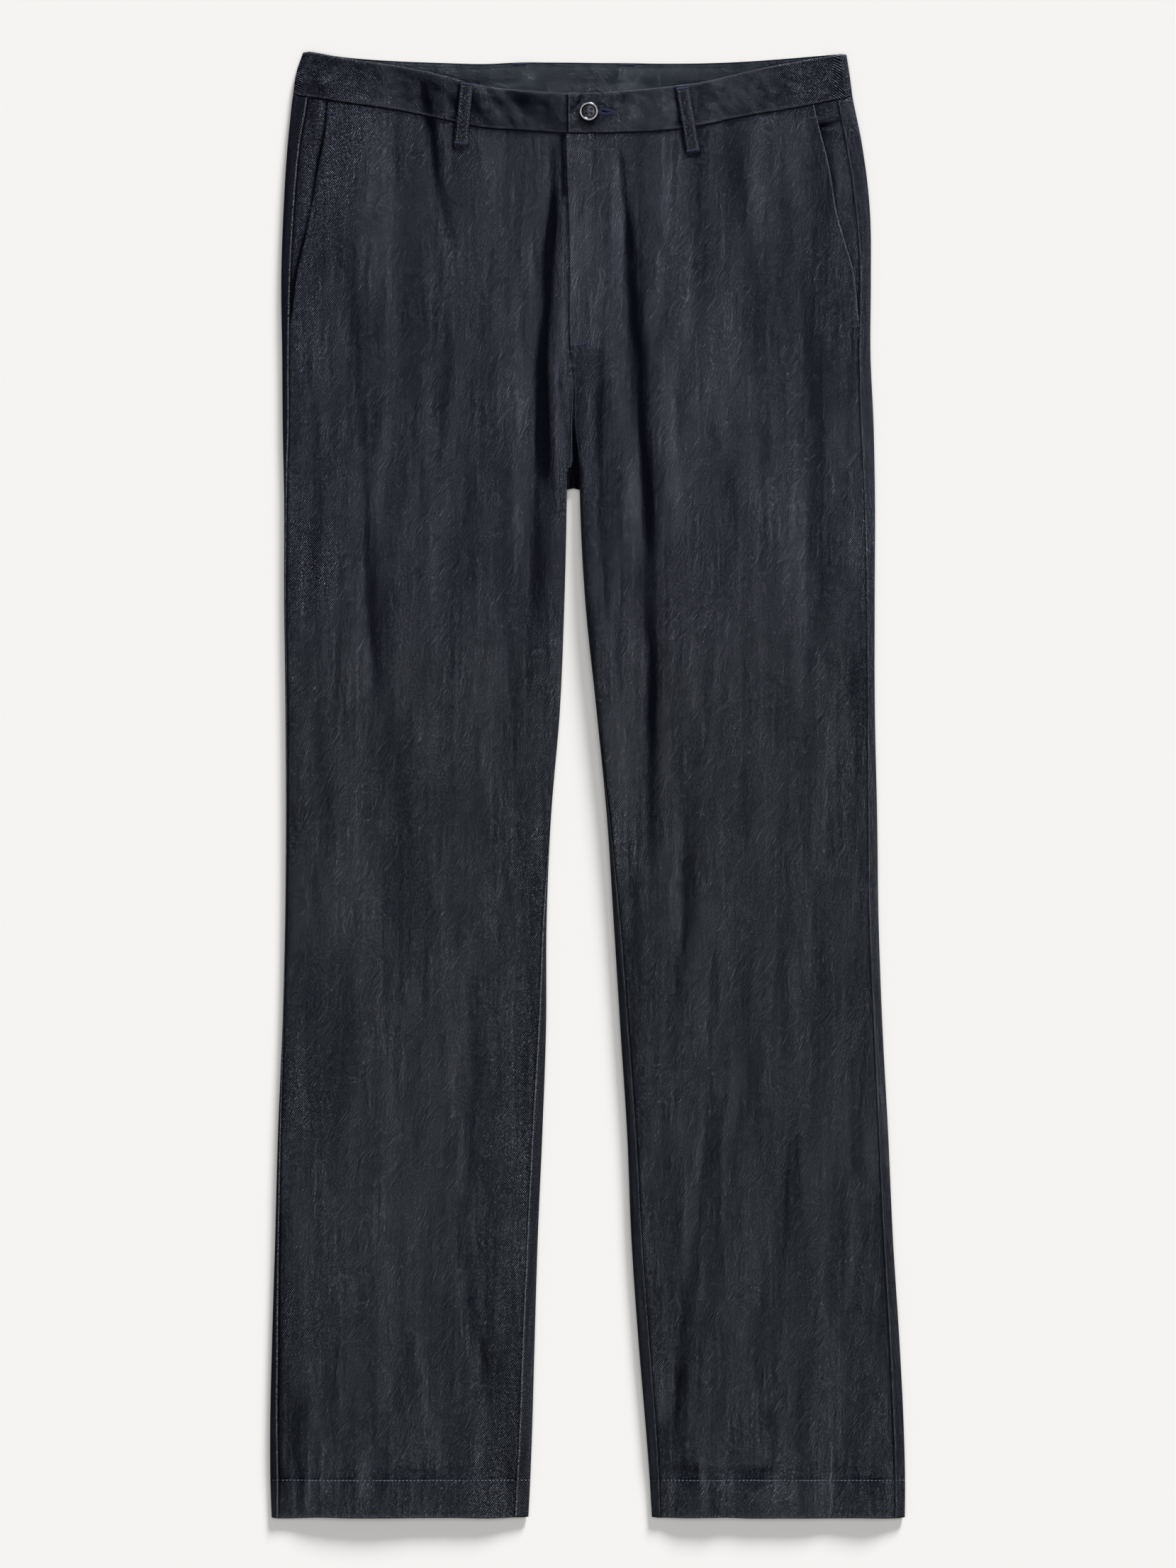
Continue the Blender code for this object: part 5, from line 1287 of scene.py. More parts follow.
def waistband():
    # one strip from the button end, round the right side, the back and the left side to the fly: each row
    # runs level in front, turns round both folded edges and goes back behind, between the seam and the top
    flyX = centreAt(band["seamY"])
    endX = flyX + 0.5 * lay["seamGap"]
    tab = np.linspace(band["tab"], 2.0, bandCut["tabColumns"])
    tab = np.concatenate([tab, np.linspace(0.0, -fly["sinkRun"], bandCut["sinkColumns"])]) + flyX
    rightX = np.linspace(flyX - fly["sinkRun"] - 1.2, bandCut["rightEnd"], bandCut["columns"])
    rightX = np.concatenate([tab, rightX])
    leftX = np.linspace(bandCut["leftEnd"], flyX + 4.4, bandCut["columns"])
    leftX = np.concatenate([leftX, endX + np.array(bandCut["near"])])
    backX = np.linspace(bandCut["backRight"], bandCut["backLeft"], bandCut["backColumns"])
    turn = np.linspace(1.0, 0.0, bandCut["turnColumns"])
    up = np.concatenate([[0.0, 0.01, 0.025, 0.05], np.linspace(0.09, 0.91, 18), [0.95, 0.975, 0.99, 1.0]])
    up = up[:, None]
    flat = np.ones(up.shape)
    way = -arcUnder + (2.0 * arcUnder + 2.0) * turn
    under = way <= 0.0
    behind = np.concatenate([0.0 * rightX, under, 1.0 + 0.0 * backX, under[::-1], 0.0 * leftX]) > 0.5
    marks = np.cumsum([len(rightX), len(turn), len(backX), len(turn)])
    y = np.full((len(up), len(behind)), band["seamY"])

    def edge(side, sideWay, height):  # the points round one folded edge
        def level(x, _):
            return bandFace(x, side)

        return edgePoint(sideWay * flat, height, legAt(height, side, "outer"), -sides[side], level)

    for _ in range(layPasses):
        parts = np.split(y, marks, axis=1)
        rightEdge = edge("right", way, parts[1])
        leftEdge = edge("left", way[::-1], parts[3])
        x = np.concatenate([rightX * flat, rightEdge[0], backX * flat, leftEdge[0], leftX * flat], axis=1)
        frontSeam = waistAt(x, "frontSeam") + 0.5 * lay["seamGap"]
        backSeam = waistAt(x, "backSeam") + 0.5 * lay["seamGap"]
        fromSide = np.minimum(x - legAt(y, "right", "outer"), legAt(y, "left", "outer") - x)
        corner = bandCut["corner"] * nearEnd(fromSide, 3.2) * smooth(up * 2.0 - 1.0)
        front = frontSeam + (waistAt(x, "frontTop") - frontSeam) * up - corner
        back = backSeam + (waistAt(x, "backTop") - backSeam) * up - corner
        y = np.where(behind, back, front)
    onFloor = floorLift(backX * flat, parts[2])
    rightZ, leftZ = bandFace(rightX, "right") * flat, bandFace(leftX, "left") * flat
    z = np.concatenate([rightZ, rightEdge[1], onFloor, leftEdge[1], leftZ], axis=1)
    # the way up from the folded edge, with far values in front and behind
    ways = np.concatenate([40.0 + 0.0 * rightX, way, -40.0 + 0.0 * backX, way[::-1], 40.0 + 0.0 * leftX])
    ways = ways * flat
    onTop = smooth((ways - 4.0) / 4.0)
    relief = creasesAt(x, y)[0] + foldsAt(x, y)[0] + mottles(x, y, bandReliefRows)
    middle = np.sin(math.pi * up)
    z = z - onTop * relief * np.minimum(1.4 * middle, 1.0) + bandCut["belly"] * onTop * (middle - 0.6)
    face = np.stack([x, y, z], axis=-1)
    # the lining lies square to the cloth round the folded edges, and straight below or above it elsewhere
    wall = band["backWall"] + (band["wall"] - band["backWall"]) * smooth(1.0 + ways / arcUnder)
    onEdge = (np.abs(ways) < 8.0)[..., None]
    upright = face + np.stack([0.0 * x, 0.0 * x, np.where(behind, 1.0, -1.0) * wall], axis=-1)
    lining = np.where(onEdge, liningOf(face, wall, -1), upright)
    depth = waistAt(x, "frontTop") - waistAt(x, "frontSeam")
    height = depth * up
    fromTop = depth - height
    fromEnd = np.where(np.arange(len(behind)) > marks[3], x - endX, 50.0)
    drop = rounded(height, bandCut["seamDrop"]) + rounded(fromTop, bandCut["topDrop"])
    drop = np.minimum(drop + rounded(fromEnd, bandCut["endDrop"]), 1.0)
    inFront = ways > 0.0
    face[..., 2] += np.where(inFront, -1.0, 1.0) * drop * np.where(np.abs(ways) < 3.0, 0.0, 1.0)
    # its tone: mottled, with dark lines at the seam and at the back's top, a painted shadow at the left end's
    # edge and a painted shadow round the button
    onLeft = smooth((x - 10.0) / 60.0)
    mottled = (1.0 + bandTone["leftMottles"] * onLeft) * mottles(x, y, bandMottleRows)
    tone = bandTone["folds"] * toneAt(x, y) - bandTone["creases"] * creasesAt(x, y)[1]
    tone = tone + mottled + bandTone["plain"] + mottles(x, y, bandCloudRows)
    tone = darkLine(tone, height, 0.85)
    tone = tone + bandTone["left"] * onLeft - bandTone["right"] * smooth((-20.0 - x) / 60.0)
    tone = darkLine(tone, fromTop, 1.1, 0.9, behind)
    onRight = (np.arange(len(behind)) < len(rightX)) & inFront
    # the painted shadow of the left end on the right half beside it
    tone = darkLine(tone, x - flyX + 0.3, 1.3, share=onRight)
    # the painted shadow round the button
    fromButton = np.hypot(x - bandTone["button"][0], y - bandTone["button"][1])
    pastButton = np.maximum(fromButton - bandTone["buttonReach"], 0.0)
    tone = darkLine(tone, pastButton, 0.9, 0.85, inFront & ~onRight)
    rubbed = 0.26 * nearEnd(fromTop - 0.6, 0.7) + 0.14 * nearEnd(height - 1.7, 0.45)
    rubbed = (rubbed + 0.22 * nearEnd(fromEnd - 0.8, 0.6)) * inFront
    fields = {"tone": tone, "edge": rubbed, "matte": bandTone["matte"] + 0.0 * x}
    uv = np.stack([np.where(behind, x, -x), y], axis=-1)
    uv[..., 0] += np.where(np.abs(ways) < 30.0, 0.6 * ways, 0.0)
    piece = wallMesh("waistband_cloth", face, lining, bandMaterial, uv, fields)
    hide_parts("waistband")
    declareSheet(face)


insideCut = {
    "columns": 210,
    "thick": 1.2,
    "puff": 0.55,  # how high the strip along its top stands, and how wide it is
    "puffWidth": 13.0,
    "groove": 0.35,  # along the stitches
    "topDrop": 0.8,
    "matte": 0.1,
}
insideReliefRows = ((0.20, 12.0, 9.0, 41), (0.12, 5.0, 5.0, 42))
insideMottleRows = ((0.20, 14.0, 10.0, 43), (0.18, 6.0, 9.0, 44))


def waistbandFacing():
    # the inside of the band behind, which lies on the band's outer layer: straight between the two folded
    # edges, from the seam up to the top edge, with a puffed strip along the top
    inset = lay["edgeRadius"] + 1.0
    up = np.concatenate([np.linspace(0.0, 0.93, 20), [0.96, 0.98, 0.993, 1.0]])[:, None]
    low = [legAt(band["seamY"], side, "outer") - sides[side] * inset for side in sides]
    high = [legAt(band["seamY"] + 34.0, side, "outer") - sides[side] * inset for side in sides]
    first, last = low[0] + (high[0] - low[0]) * up, low[1] + (high[1] - low[1]) * up
    x = first + (last - first) * np.linspace(0.0, 1.0, insideCut["columns"])
    seam = waistAt(x, "backSeam") + 2.0 * lay["seamGap"]
    top = waistAt(x, "backTop") - 2.0 * lay["seamGap"]
    y = seam + (top - seam) * up
    under = floorLift(x, y) + band["backWall"] + lay["seamGap"]
    fromTop = top - y
    puff = insideCut["puff"] * np.sin(math.pi * np.clip(fromTop / insideCut["puffWidth"], 0.0, 1.0))
    puff = puff + mottles(x, y, insideReliefRows) - insideCut["groove"] * nearEnd(fromTop - 2.4, 0.8)
    inner = smooth(fromTop / 2.5) * smooth((y - seam) / 3.0)
    face = np.stack([x, y, under + insideCut["thick"] + puff * inner], axis=-1)
    lining = np.stack([x, y, under], axis=-1)
    face[..., 2] -= np.minimum(rounded(fromTop, insideCut["topDrop"]), insideCut["topDrop"])
    # its tone: mottled, dark at the stitches and the top edge, with a painted shadow where the front's edge
    # lies over it
    pastFront = y - waistAt(x, "frontTop")
    tone = mottles(x, y, insideMottleRows) - 0.55 * nearEnd(fromTop - 2.6, 0.6)
    tone = tone - 0.30 * nearEnd(fromTop - 13.5, 1.6) - 0.92 * nearEnd(fromTop, 0.95)
    # the painted shadow of the front's edge
    tone = tone - 0.5 * nearEnd(np.minimum(pastFront, 0.0), 2.0) * nearEnd(pastFront, 1.3)
    tone = tone + 0.22 * nearEnd(x + 2.0, 34.0) * nearEnd(y - 545.0, 9.0)
    edge = 0.12 * nearEnd(fromTop - 1.5, 0.5)
    fields = {"tone": tone, "edge": edge, "matte": insideCut["matte"] + 0.0 * x}
    uv = np.stack([-y, x], axis=-1)
    piece = wallMesh("waistband_inside_cloth", face, lining, insideMaterial, uv, fields)
    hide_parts("waistband_facing")
    declareSheet(face)


loopCut = {
    "width": 9.6,
    "length": 50.0,
    "wall": 1.3,
    "clear": 0.45,  # between the loop and the band
    "arch": 0.6,
    "stitchInset": 1.5,
    "groove": 0.16,
    "sideDrop": 0.8,
    "lit": (0.12, 0.26),  # rubbed thread along its right and left side, more on the left side as a painted highlight where the key light falls
    "ends": 0.22,
}
loopReliefRows = ((0.06, 3.0, 4.0, 51),)
loopMottleRows = ((0.10, 4.0, 9.0, 52),)
# The front loops: which half, and the x and y of their top and foot.
loopRows = (("right", -93.5, 545.0, -98.5, 496.0), ("left", 73.3, 541.8, 82.0, 490.5))


def mirrored(steps):  # from -1 to 1, from steps between 0 and 1
    steps = np.array(steps)
    return np.concatenate([-steps[:0:-1], steps])


def loopSurface(row, along, across):
    # points on a front loop: straight between its ends, and arched over the highest cloth that it crosses
    side, xTop, yTop, xFoot, yFoot = row
    length = math.hypot(xFoot - xTop, yFoot - yTop)

    def place(share, sideways):  # a share of the way down it, and a distance across
        placeX = xTop + (xFoot - xTop) * share + sideways * (yTop - yFoot) / length
        return placeX, yTop + (yFoot - yTop) * share + sideways * (xFoot - xTop) / length

    x, y = place(along, across)
    spine = np.linspace(0.0, 1.0, 41)
    spineX, spineY = place(spine[:, None], np.linspace(-0.5, 0.5, 5)[None, :] * loopCut["width"])
    onPanel = frontLevel(spineX, spineY, side)
    onBand = np.maximum(bandFace(spineX, side) + 0.25, onPanel)
    nearSeam = smooth((spineY - waistAt(spineX, "frontSeam")) / 3.0 + 1.5)
    under = (onPanel + (onBand - onPanel) * nearSeam).max(axis=1)
    under = np.convolve(np.pad(under, 3, mode="edge"), np.ones(7) / 7.0, mode="valid")
    arch = loopCut["arch"] * np.sin(math.pi * along) ** 2
    return x, y, np.interp(along, spine, under) + loopCut["clear"] + arch


def frontLoop(row):
    # a strip on that surface, with grooves under its stitches and edges that round down
    side = row[0]
    half = 0.5 * loopCut["width"]
    along = np.linspace(0.0, 1.0, 46)[:, None]
    across = mirrored([0.0, 0.25, 0.5, 0.72, 0.84, 0.92, 0.97, 1.0]) * half + 0.0 * along
    along = along + 0.0 * across
    x, y, under = loopSurface(row, along, across)
    fromSide = half - np.abs(across)
    fromEnd = np.minimum(along, 1.0 - along) * loopCut["length"]
    groove = loopCut["groove"] * nearEnd(fromSide - loopCut["stitchInset"], 0.6)
    z = under + loopCut["wall"] - rounded(fromSide, loopCut["sideDrop"]) - groove
    face = np.stack([x, y, z + mottles(x, y, loopReliefRows)], axis=-1)
    lining = np.stack([x, y, under], axis=-1)
    # dark along the stitches, with painted shade along its rounded sides and ends
    tone = mottles(x, y, loopMottleRows) - 0.30 * nearEnd(fromSide - loopCut["stitchInset"], 0.5) - 0.02
    tone = tone - 0.5 * nearEnd(fromSide, 0.35) - 0.5 * nearEnd(fromEnd, 0.5)
    # rubbed thread on both sides, and a painted highlight on the side towards the key light
    lit = np.where(across > 0.0, loopCut["lit"][1], loopCut["lit"][0])
    edge = lit * nearEnd(fromSide - 0.7, 0.4) + loopCut["ends"] * nearEnd(fromEnd - 0.7, 0.4)
    fields = {"tone": tone, "edge": edge, "matte": 0.0 * x}
    uv = np.stack([across + 3.0, along * loopCut["length"]], axis=-1)
    piece = wallMesh(f"loop_front_{side}_cloth", face, lining, denimMaterial, uv, fields)
    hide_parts(f"belt_loop_front_{side}")
    declareSheet(face)


def backLoop(side):
    # a loop behind lies flat on the floor, under the waistband and the panel's upper end
    middle = lay["centreBack"] + sides[side] * backLoops["spread"]
    foot = waistAt(middle, "backSeam") - backLoops["tail"]
    head = waistAt(middle, "backTop") - 2.0 * lay["seamGap"]
    across = mirrored([0.0, 0.3, 0.6, 0.85, 0.95, 1.0]) * 0.5 * loopCut["width"]
    y = np.linspace(foot, head, 24)[:, None] + 0.0 * across
    x = middle + across + 0.0 * y
    fromSide = 0.5 * loopCut["width"] - np.abs(x - middle)
    face = np.stack([x, y, rounded(fromSide, backLoops["round"])], axis=-1)
    lining = np.stack([x, y, backLoops["lining"] + 0.0 * x], axis=-1)
    tone = -0.2 * nearEnd(fromSide - loopCut["stitchInset"], 0.6)
    fields = {"tone": tone, "edge": 0.4 * nearEnd(fromSide - 0.4, 0.5), "matte": 0.0 * x}
    uv = np.stack([x, y], axis=-1)
    piece = wallMesh(f"loop_back_{side}_cloth", face, lining, denimMaterial, uv, fields)
    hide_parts(f"belt_loop_back_{side}")
    declareSheet(face)


frontFaces = {side: frontPanel(side) for side in sides}
backFaces = {side: backPanel(side) for side in sides}
for side in sides:
    pocketFacing(side)
    backLoop(side)
waistband()
waistbandFacing()
for loopRow in loopRows:
    frontLoop(loopRow)
print("the cloth is laid out")


sewing = {
    "pitch": 2.7,  # from one stitch to the next, where a row has no pitch of its own
    "stitch": 2.0,
    "radius": 0.30,
    "proud": 0.06,  # how far a thread's middle stands over the cloth
    "satinPitch": 0.5,
    "satinRadius": 0.28,
    "satinLean": 0.35,
}


def unit(vectors):  # each at length 1
    return vectors / np.maximum(np.linalg.norm(vectors, axis=-1, keepdims=True), 1e-6)


def levelAcross(vectors):  # level and square to each
    return np.cross(np.array([0.0, 0.0, 1.0]), vectors)


def wayOf(path):  # from a line's start to each of its points
    return np.concatenate([[0.0], np.cumsum(np.linalg.norm(np.diff(path, axis=0), axis=-1))])


def placeOn(path, way, at):  # the points of a line at these ways from its start
    return np.stack([np.interp(at, way, path[:, k]) for k in range(3)], axis=-1)


def capsuleSet(starts, ends, radius):
    # a small bar between each start and end: rings of six points round it, thinner to both ends, and a tip
    axis = ends - starts
    direction = axis / np.linalg.norm(axis, axis=-1, keepdims=True)
    sideways = unit(levelAcross(direction))
    upward = np.cross(direction, sideways)
    angle = np.linspace(0.0, 2.0 * math.pi, 6, endpoint=False)
    places, sizes = np.array([0.0, 0.14, 0.5, 0.86, 1.0]), np.array([0.0, 0.78, 1.0, 0.78, 0.0])
    rings = []
    for place, size in zip(places, sizes):
        centre = starts + axis * place
        ring = [centre + radius * size * (math.cos(a) * sideways + math.sin(a) * upward) for a in angle]
        rings.append(np.stack(ring if size > 0.0 else ring[:1], axis=1))
    points = np.concatenate(rings, axis=1)
    k = np.arange(6)
    after = (k + 1) % 6
    tips = np.stack([0 * k, 1 + after, 1 + k], axis=-1)
    tails = np.stack([19 + 0 * k, 13 + k, 13 + after], axis=-1)
    quads = [np.stack([b + k, b + after, b + 6 + after, b + 6 + k], axis=-1) for b in (1, 7)]
    first = (np.arange(len(starts)) * points.shape[1])[:, None, None]
    triangles = (first + np.concatenate([tips, tails])).reshape(-1, 3)
    return points.reshape(-1, 3), [triangles, (first + np.concatenate(quads)).reshape(-1, 4)]


def sewAlong(path, pitch=sewing["pitch"], stitch=sewing["stitch"], radius=sewing["radius"], slant=0.0):
    # stitches at equal steps along a line of points, each leaned across it by the slant
    way = wayOf(path)
    count = max(1, int(way[-1] / pitch))
    at = (np.arange(count) + 0.5) * way[-1] / count
    starts, ends = placeOn(path, way, at - 0.5 * stitch), placeOn(path, way, at + 0.5 * stitch)
    lean = unit(levelAcross(ends - starts)) * slant
    return capsuleSet(starts - lean, ends + lean, radius)


def satin(path, width, pitch=sewing["satinPitch"], radius=sewing["satinRadius"]):
    # thread laid side by side across a line, as in a bar tack or round a buttonhole, leaned a little
    way = wayOf(path)
    at = np.linspace(0.0, way[-1], max(2, int(way[-1] / pitch)))
    centre = placeOn(path, way, at)
    ahead = placeOn(path, way, at + 0.3) - placeOn(path, way, at - 0.3)
    half = 0.5 * width * unit(levelAcross(ahead)) + sewing["satinLean"] * unit(ahead)
    return capsuleSet(centre - half, centre + half, radius)


def sewnPiece(name, sets, material):
    # one piece of thread from several sets of stitches
    points, faceSets, first = [], [], 0
    for setPoints, setFaces in sets:
        points.append(setPoints)
        faceSets += [faces + first for faces in setFaces]
        first += len(setPoints)
    piece = putMesh(name, np.concatenate(points), faceSets, material)
    return piece


def onFront(points, side, lift=sewing["proud"]):
    # the points of a line, put on the front panel's face
    x, y = np.array(points, float).T
    return np.stack([x, y, frontLevel(x, y, side) + lift], axis=-1)


def denser(points, step=1.5):
    # a line through a few points, as a smooth curve with points every step
    points = np.array(points, float)
    way = wayOf(points)
    at = np.linspace(0.0, way[-1], max(2, int(way[-1] / step)))
    slopes = np.gradient(points, way, axis=0)
    i = np.clip(np.searchsorted(way, at) - 1, 0, len(way) - 2)
    h = (way[i + 1] - way[i])[:, None]
    t = ((at - way[i]) / h[:, 0])[:, None]
    rest = 1.0 - t
    ends = points[i] * (1.0 + 2.0 * t) * rest**2 + points[i + 1] * (3.0 - 2.0 * t) * t**2
    return ends + h * t * rest * (slopes[i] * rest - slopes[i + 1] * t)


def gridRow(face, y, lift):  # the row of a panel's points that lies nearest to this height
    row = face[np.argmin(np.abs(face[:, 0, 1] - y))].copy()
    row[:, 2] += lift
    return row


# Fly and crotch seam
flyPoints = ((19.6, 503.0), (19.3, 470.0), (19.3, 400.0), (19.6, 375.0))
flyPoints += ((18.6, 364.0), (15.5, 354.0), (10.0, 347.0), (2.0, 342.6))  # the curve at its foot
flyCurve = onFront(denser(flyPoints), "left")
crotchY = np.linspace(338.0, 250.0, 40)
crotchPoints = np.stack([centreAt(crotchY) + 1.5 + wedgeAt(crotchY, "left"), crotchY], axis=-1)
crotchCurve = onFront(crotchPoints, "left", 0.15)
flySets = [sewAlong(flyCurve), sewAlong(crotchCurve, pitch=2.2, stitch=1.6)]
sewnPiece("fly_stitches", flySets, threadMaterial)
edgeY = np.linspace(322.0, 246.0, 40)
edgePoints = np.stack([centreAt(edgeY) - 1.1 - 0.5 * wedgeAt(edgeY, "right"), edgeY], axis=-1)
crotchEdge = sewAlong(onFront(edgePoints, "right", 0.0), pitch=1.7, stitch=0.9, slant=0.3)
sewnPiece("crotch_stitches", [crotchEdge], loopThreadMaterial)

# Pockets and hems
pocketSewing = {"right": 522.0, "left": 526.0, "foot": 370.0, "inset": 6.3, "pitch": 2.35, "stitch": 1.7}
hemSewing = {"pitch": 2.9, "stitch": 1.7, "radius": 0.36, "sink": 0.24, "low": 0.04, "least": 0.3}
for side in sides:
    sign = sides[side]
    pocketY = np.linspace(pocketSewing[side], pocketSewing["foot"], 90)
    pocketX = legAt(pocketY, side, "outer") - sign * (openingAt(pocketY, side) + pocketSewing["inset"])
    path = onFront(np.stack([pocketX, pocketY], axis=-1), side)
    sets = [sewAlong(path, pitch=pocketSewing["pitch"], stitch=pocketSewing["stitch"])]
    sewnPiece(f"pocket_{side}_stitches", sets, threadMaterial)
    frontRow = gridRow(frontFaces[side], lay["hemLine"], sewing["proud"])[3:-3]
    backRow = gridRow(backFaces[side], lay["hemLine"], 0.0)
    hemSets = []
    for row in (frontRow, backRow):  # the thread sinks into the cloth in places
        row[:, 2] += hemSewing["sink"] * alongX(row[:, 0], 5.0, 61) - hemSewing["low"]
        row[:, 2] = np.maximum(row[:, 2], hemSewing["least"])
        stitches = {key: hemSewing[key] for key in ("pitch", "stitch", "radius")}
        hemSets.append(sewAlong(row, **stitches))
    sewnPiece(f"hem_{side}_stitches", hemSets, hemThreadMaterial)

# Bar tacks: which front, the points along each, and its width.
tacks = {
    "fly": ("left", [(-13.4, 341.4), (-8.0, 341.5), (-3.0, 342.2), (2.2, 344.6)], 1.1),
    "pocket_right_top": ("right", [(-201.8, 520.8), (-195.2, 520.8)], 1.2),
    "pocket_right_foot": ("right", [(-229.0, 357.2), (-222.6, 356.6)], 1.2),
    "pocket_left_top": ("left", [(171.2, 517.0), (178.0, 517.6)], 1.2),
    "pocket_left_foot": ("left", [(205.5, 355.3), (211.0, 355.9)], 1.2),
}
for name, (side, points, width) in tacks.items():
    path = onFront(denser(points, step=0.5), side, lift=0.2)
    sewnPiece(f"tack_{name}", [satin(path, width)], tackMaterial)

# Belt loops
for row in loopRows:
    side = row[0]
    along = np.linspace(0.05, 0.95, 60)
    sets = []
    for sideways in (-1.0, 1.0):
        across = sideways * (0.5 * loopCut["width"] - loopCut["stitchInset"]) + 0.0 * along
        x, y, under = loopSurface(row, along, across)
        path = np.stack([x, y, under + loopCut["wall"] - 0.05], axis=-1)
        sets.append(sewAlong(path, pitch=2.7, stitch=1.6, radius=0.31, slant=0.35))
    sewnPiece(f"loop_front_{side}_stitches", sets, loopThreadMaterial)
    ends = []
    for at in (0.035, 0.965):
        across = np.linspace(-0.5, 0.5, 12) * loopCut["width"]
        x, y, under = loopSurface(row, at + 0.0 * across, across)
        ends.append(satin(np.stack([x, y, under + loopCut["wall"] + 0.05], axis=-1), width=1.8))
    sewnPiece(f"loop_front_{side}_tacks", ends, tackMaterial)
for side in sides:
    middle = lay["centreBack"] + sides[side] * backLoops["spread"]
    x = np.linspace(middle - 5.6, middle + 5.6, 14)
    y = waistAt(x, "backTop")
    tack = satin(np.stack([x, y - 1.2, 3.1 + floorLift(x, y)], axis=-1), width=1.6)
    sewnPiece(f"loop_back_{side}_tack", [tack], tackMaterial)

# Waistband: a row along the inside's top edge
topX = np.linspace(-214.0, 193.0, 240)
topY = waistAt(topX, "backTop") - 3.0
topZ = floorLift(topX, topY) + band["backWall"] + lay["seamGap"] + 1.0
topStitches = sewAlong(np.stack([topX, topY, topZ], axis=-1), radius=0.26)
sewnPiece("waistband_inside_stitches", [topStitches], threadMaterial)
print("the seams are sewn")


buttonCut = {
    "x": 0.9,
    "y": 522.0,
    "radius": 7.5,
    "rim": 1.9,
    "thick": 3.2,
    "well": 1.1,  # how deep the dish is
    "holeFlat": 0.55,  # radius of a hole's floor
    "holeSlope": 0.5,
    "holeDepth": 1.5,
    "holeAcross": 1.75,  # from the middle to each hole
    "holeAlong": 1.5,
    "threadAcross": 1.95,  # and to the thread's ends
    "threadAlong": 1.7,
    "ring": (0.0054, 0.0060, 0.0067, 0.0074),  # where the rim's painted highlight begins and ends, in metres
}


def buttonFinish():
    # dark pearly plastic, cloudy, with a polished rim whose brightness is a painted highlight, and a darker
    # dish with a painted reflection that grows lighter to the right
    material, shader, wire = newMaterial("buttonPlastic")
    place = wire.node("ShaderNodeTexCoord", {}, out=3)
    cloud = noiseOn(wire, place, 260.0, 3.0)
    parts = wire.node("ShaderNodeSeparateXYZ", {}, i0=place)
    x, y = parts - buttonCut["x"] * mm, parts.output(1) - buttonCut["y"] * mm
    away = (x * x + y * y) ** 0.5
    start, full, fading, end = buttonCut["ring"]
    ring = away.ramp(start, full) * (1.0 - away.ramp(fading, end))
    # the rim's painted highlight
    rim = colourMix(wire, cloud.ramp(0.3, 0.7), (0.20, 0.20, 0.225, 1.0), (0.42, 0.42, 0.44, 1.0))
    # the dish's painted reflection, lighter to the right
    paintedShine = (x * 90.0 + cloud).ramp(0.2, 1.0)
    dish = colourMix(wire, paintedShine, (0.012, 0.012, 0.014, 1.0), (0.07, 0.07, 0.08, 1.0))
    colour = colourMix(wire, ring, dish, rim)
    rough = cloud * 0.10 + 0.22
    wire.tree.links.new(colour.socket, shader.inputs["Base Color"])
    wire.tree.links.new(rough.socket, shader.inputs["Roughness"])
    shader.inputs["Metallic"].default_value = 0.8
    return material


def button():
    # a profile carried round an upright axis; the face is pushed down into four holes
    radius, well = buttonCut["radius"], buttonCut["radius"] - buttonCut["rim"]
    beneath = bandFace(buttonCut["x"] + np.linspace(-radius, radius, 9), "left")
    base = beneath.max() + lay["seamGap"]
    top = base + buttonCut["thick"]
    dish = top - buttonCut["well"]
    profile = [(0.0, base), (radius - 1.2, base), (radius - 0.4, base + 0.35), (radius, base + 1.1)]
    profile += [(radius, top - 1.0), (radius - 0.15, top - 0.5), (radius - 0.5, top - 0.16)]
    profile += [(radius - 1.0, top), (well + 0.45, top), (well, top - 0.22), (well - 0.4, top - 0.6)]
    profile += [(well - 1.0, top - 0.9), (well - 1.8, top - 1.05)]
    profile += [(r, dish) for r in np.linspace(well - 2.3, 0.25, 12)] + [(0.0, dish)]
    count = 96
    angle = np.linspace(0.0, 2.0 * math.pi, count, endpoint=False)
    inner = np.array(profile[1:-1])
    x = buttonCut["x"] + inner[:, :1] * np.cos(angle)
    y = buttonCut["y"] + inner[:, :1] * np.sin(angle)
    z = inner[:, 1:] + 0.0 * x
    onFace = (np.arange(len(inner)) > 6)[:, None]
    for i in (-1, 1):
        for j in (-1, 1):
            holeX = buttonCut["x"] + i * buttonCut["holeAcross"]
            holeY = buttonCut["y"] + j * buttonCut["holeAlong"]
            away = np.hypot(x - holeX, y - holeY) - buttonCut["holeFlat"]
            z = z - onFace * buttonCut["holeDepth"] * (1.0 - smooth(away / buttonCut["holeSlope"]))
    rings = np.stack([x, y, z], axis=-1).reshape(-1, 3)
    poles = [[(buttonCut["x"], buttonCut["y"], height)] for height in (base, dish)]
    points = np.concatenate([poles[0], rings, poles[1]])
    k = np.arange(count)
    after = (k + 1) % count
    lastRing = 1 + (len(inner) - 1) * count
    tips = np.stack([0 * k, 1 + after, 1 + k], axis=-1)
    tails = np.stack([len(points) - 1 + 0 * k, lastRing + k, lastRing + after], axis=-1)
    ring = np.stack([1 + k, 1 + after, 1 + count + after, 1 + count + k], axis=-1)
    quads = np.concatenate([ring + r * count for r in range(len(inner) - 1)])
    faceSets = [np.concatenate([tips, tails]), quads]
    piece = putMesh("button_plastic", points, faceSets, buttonFinish(), sharpAt=finish["buttonSharpAt"])
    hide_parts("button")
    return top


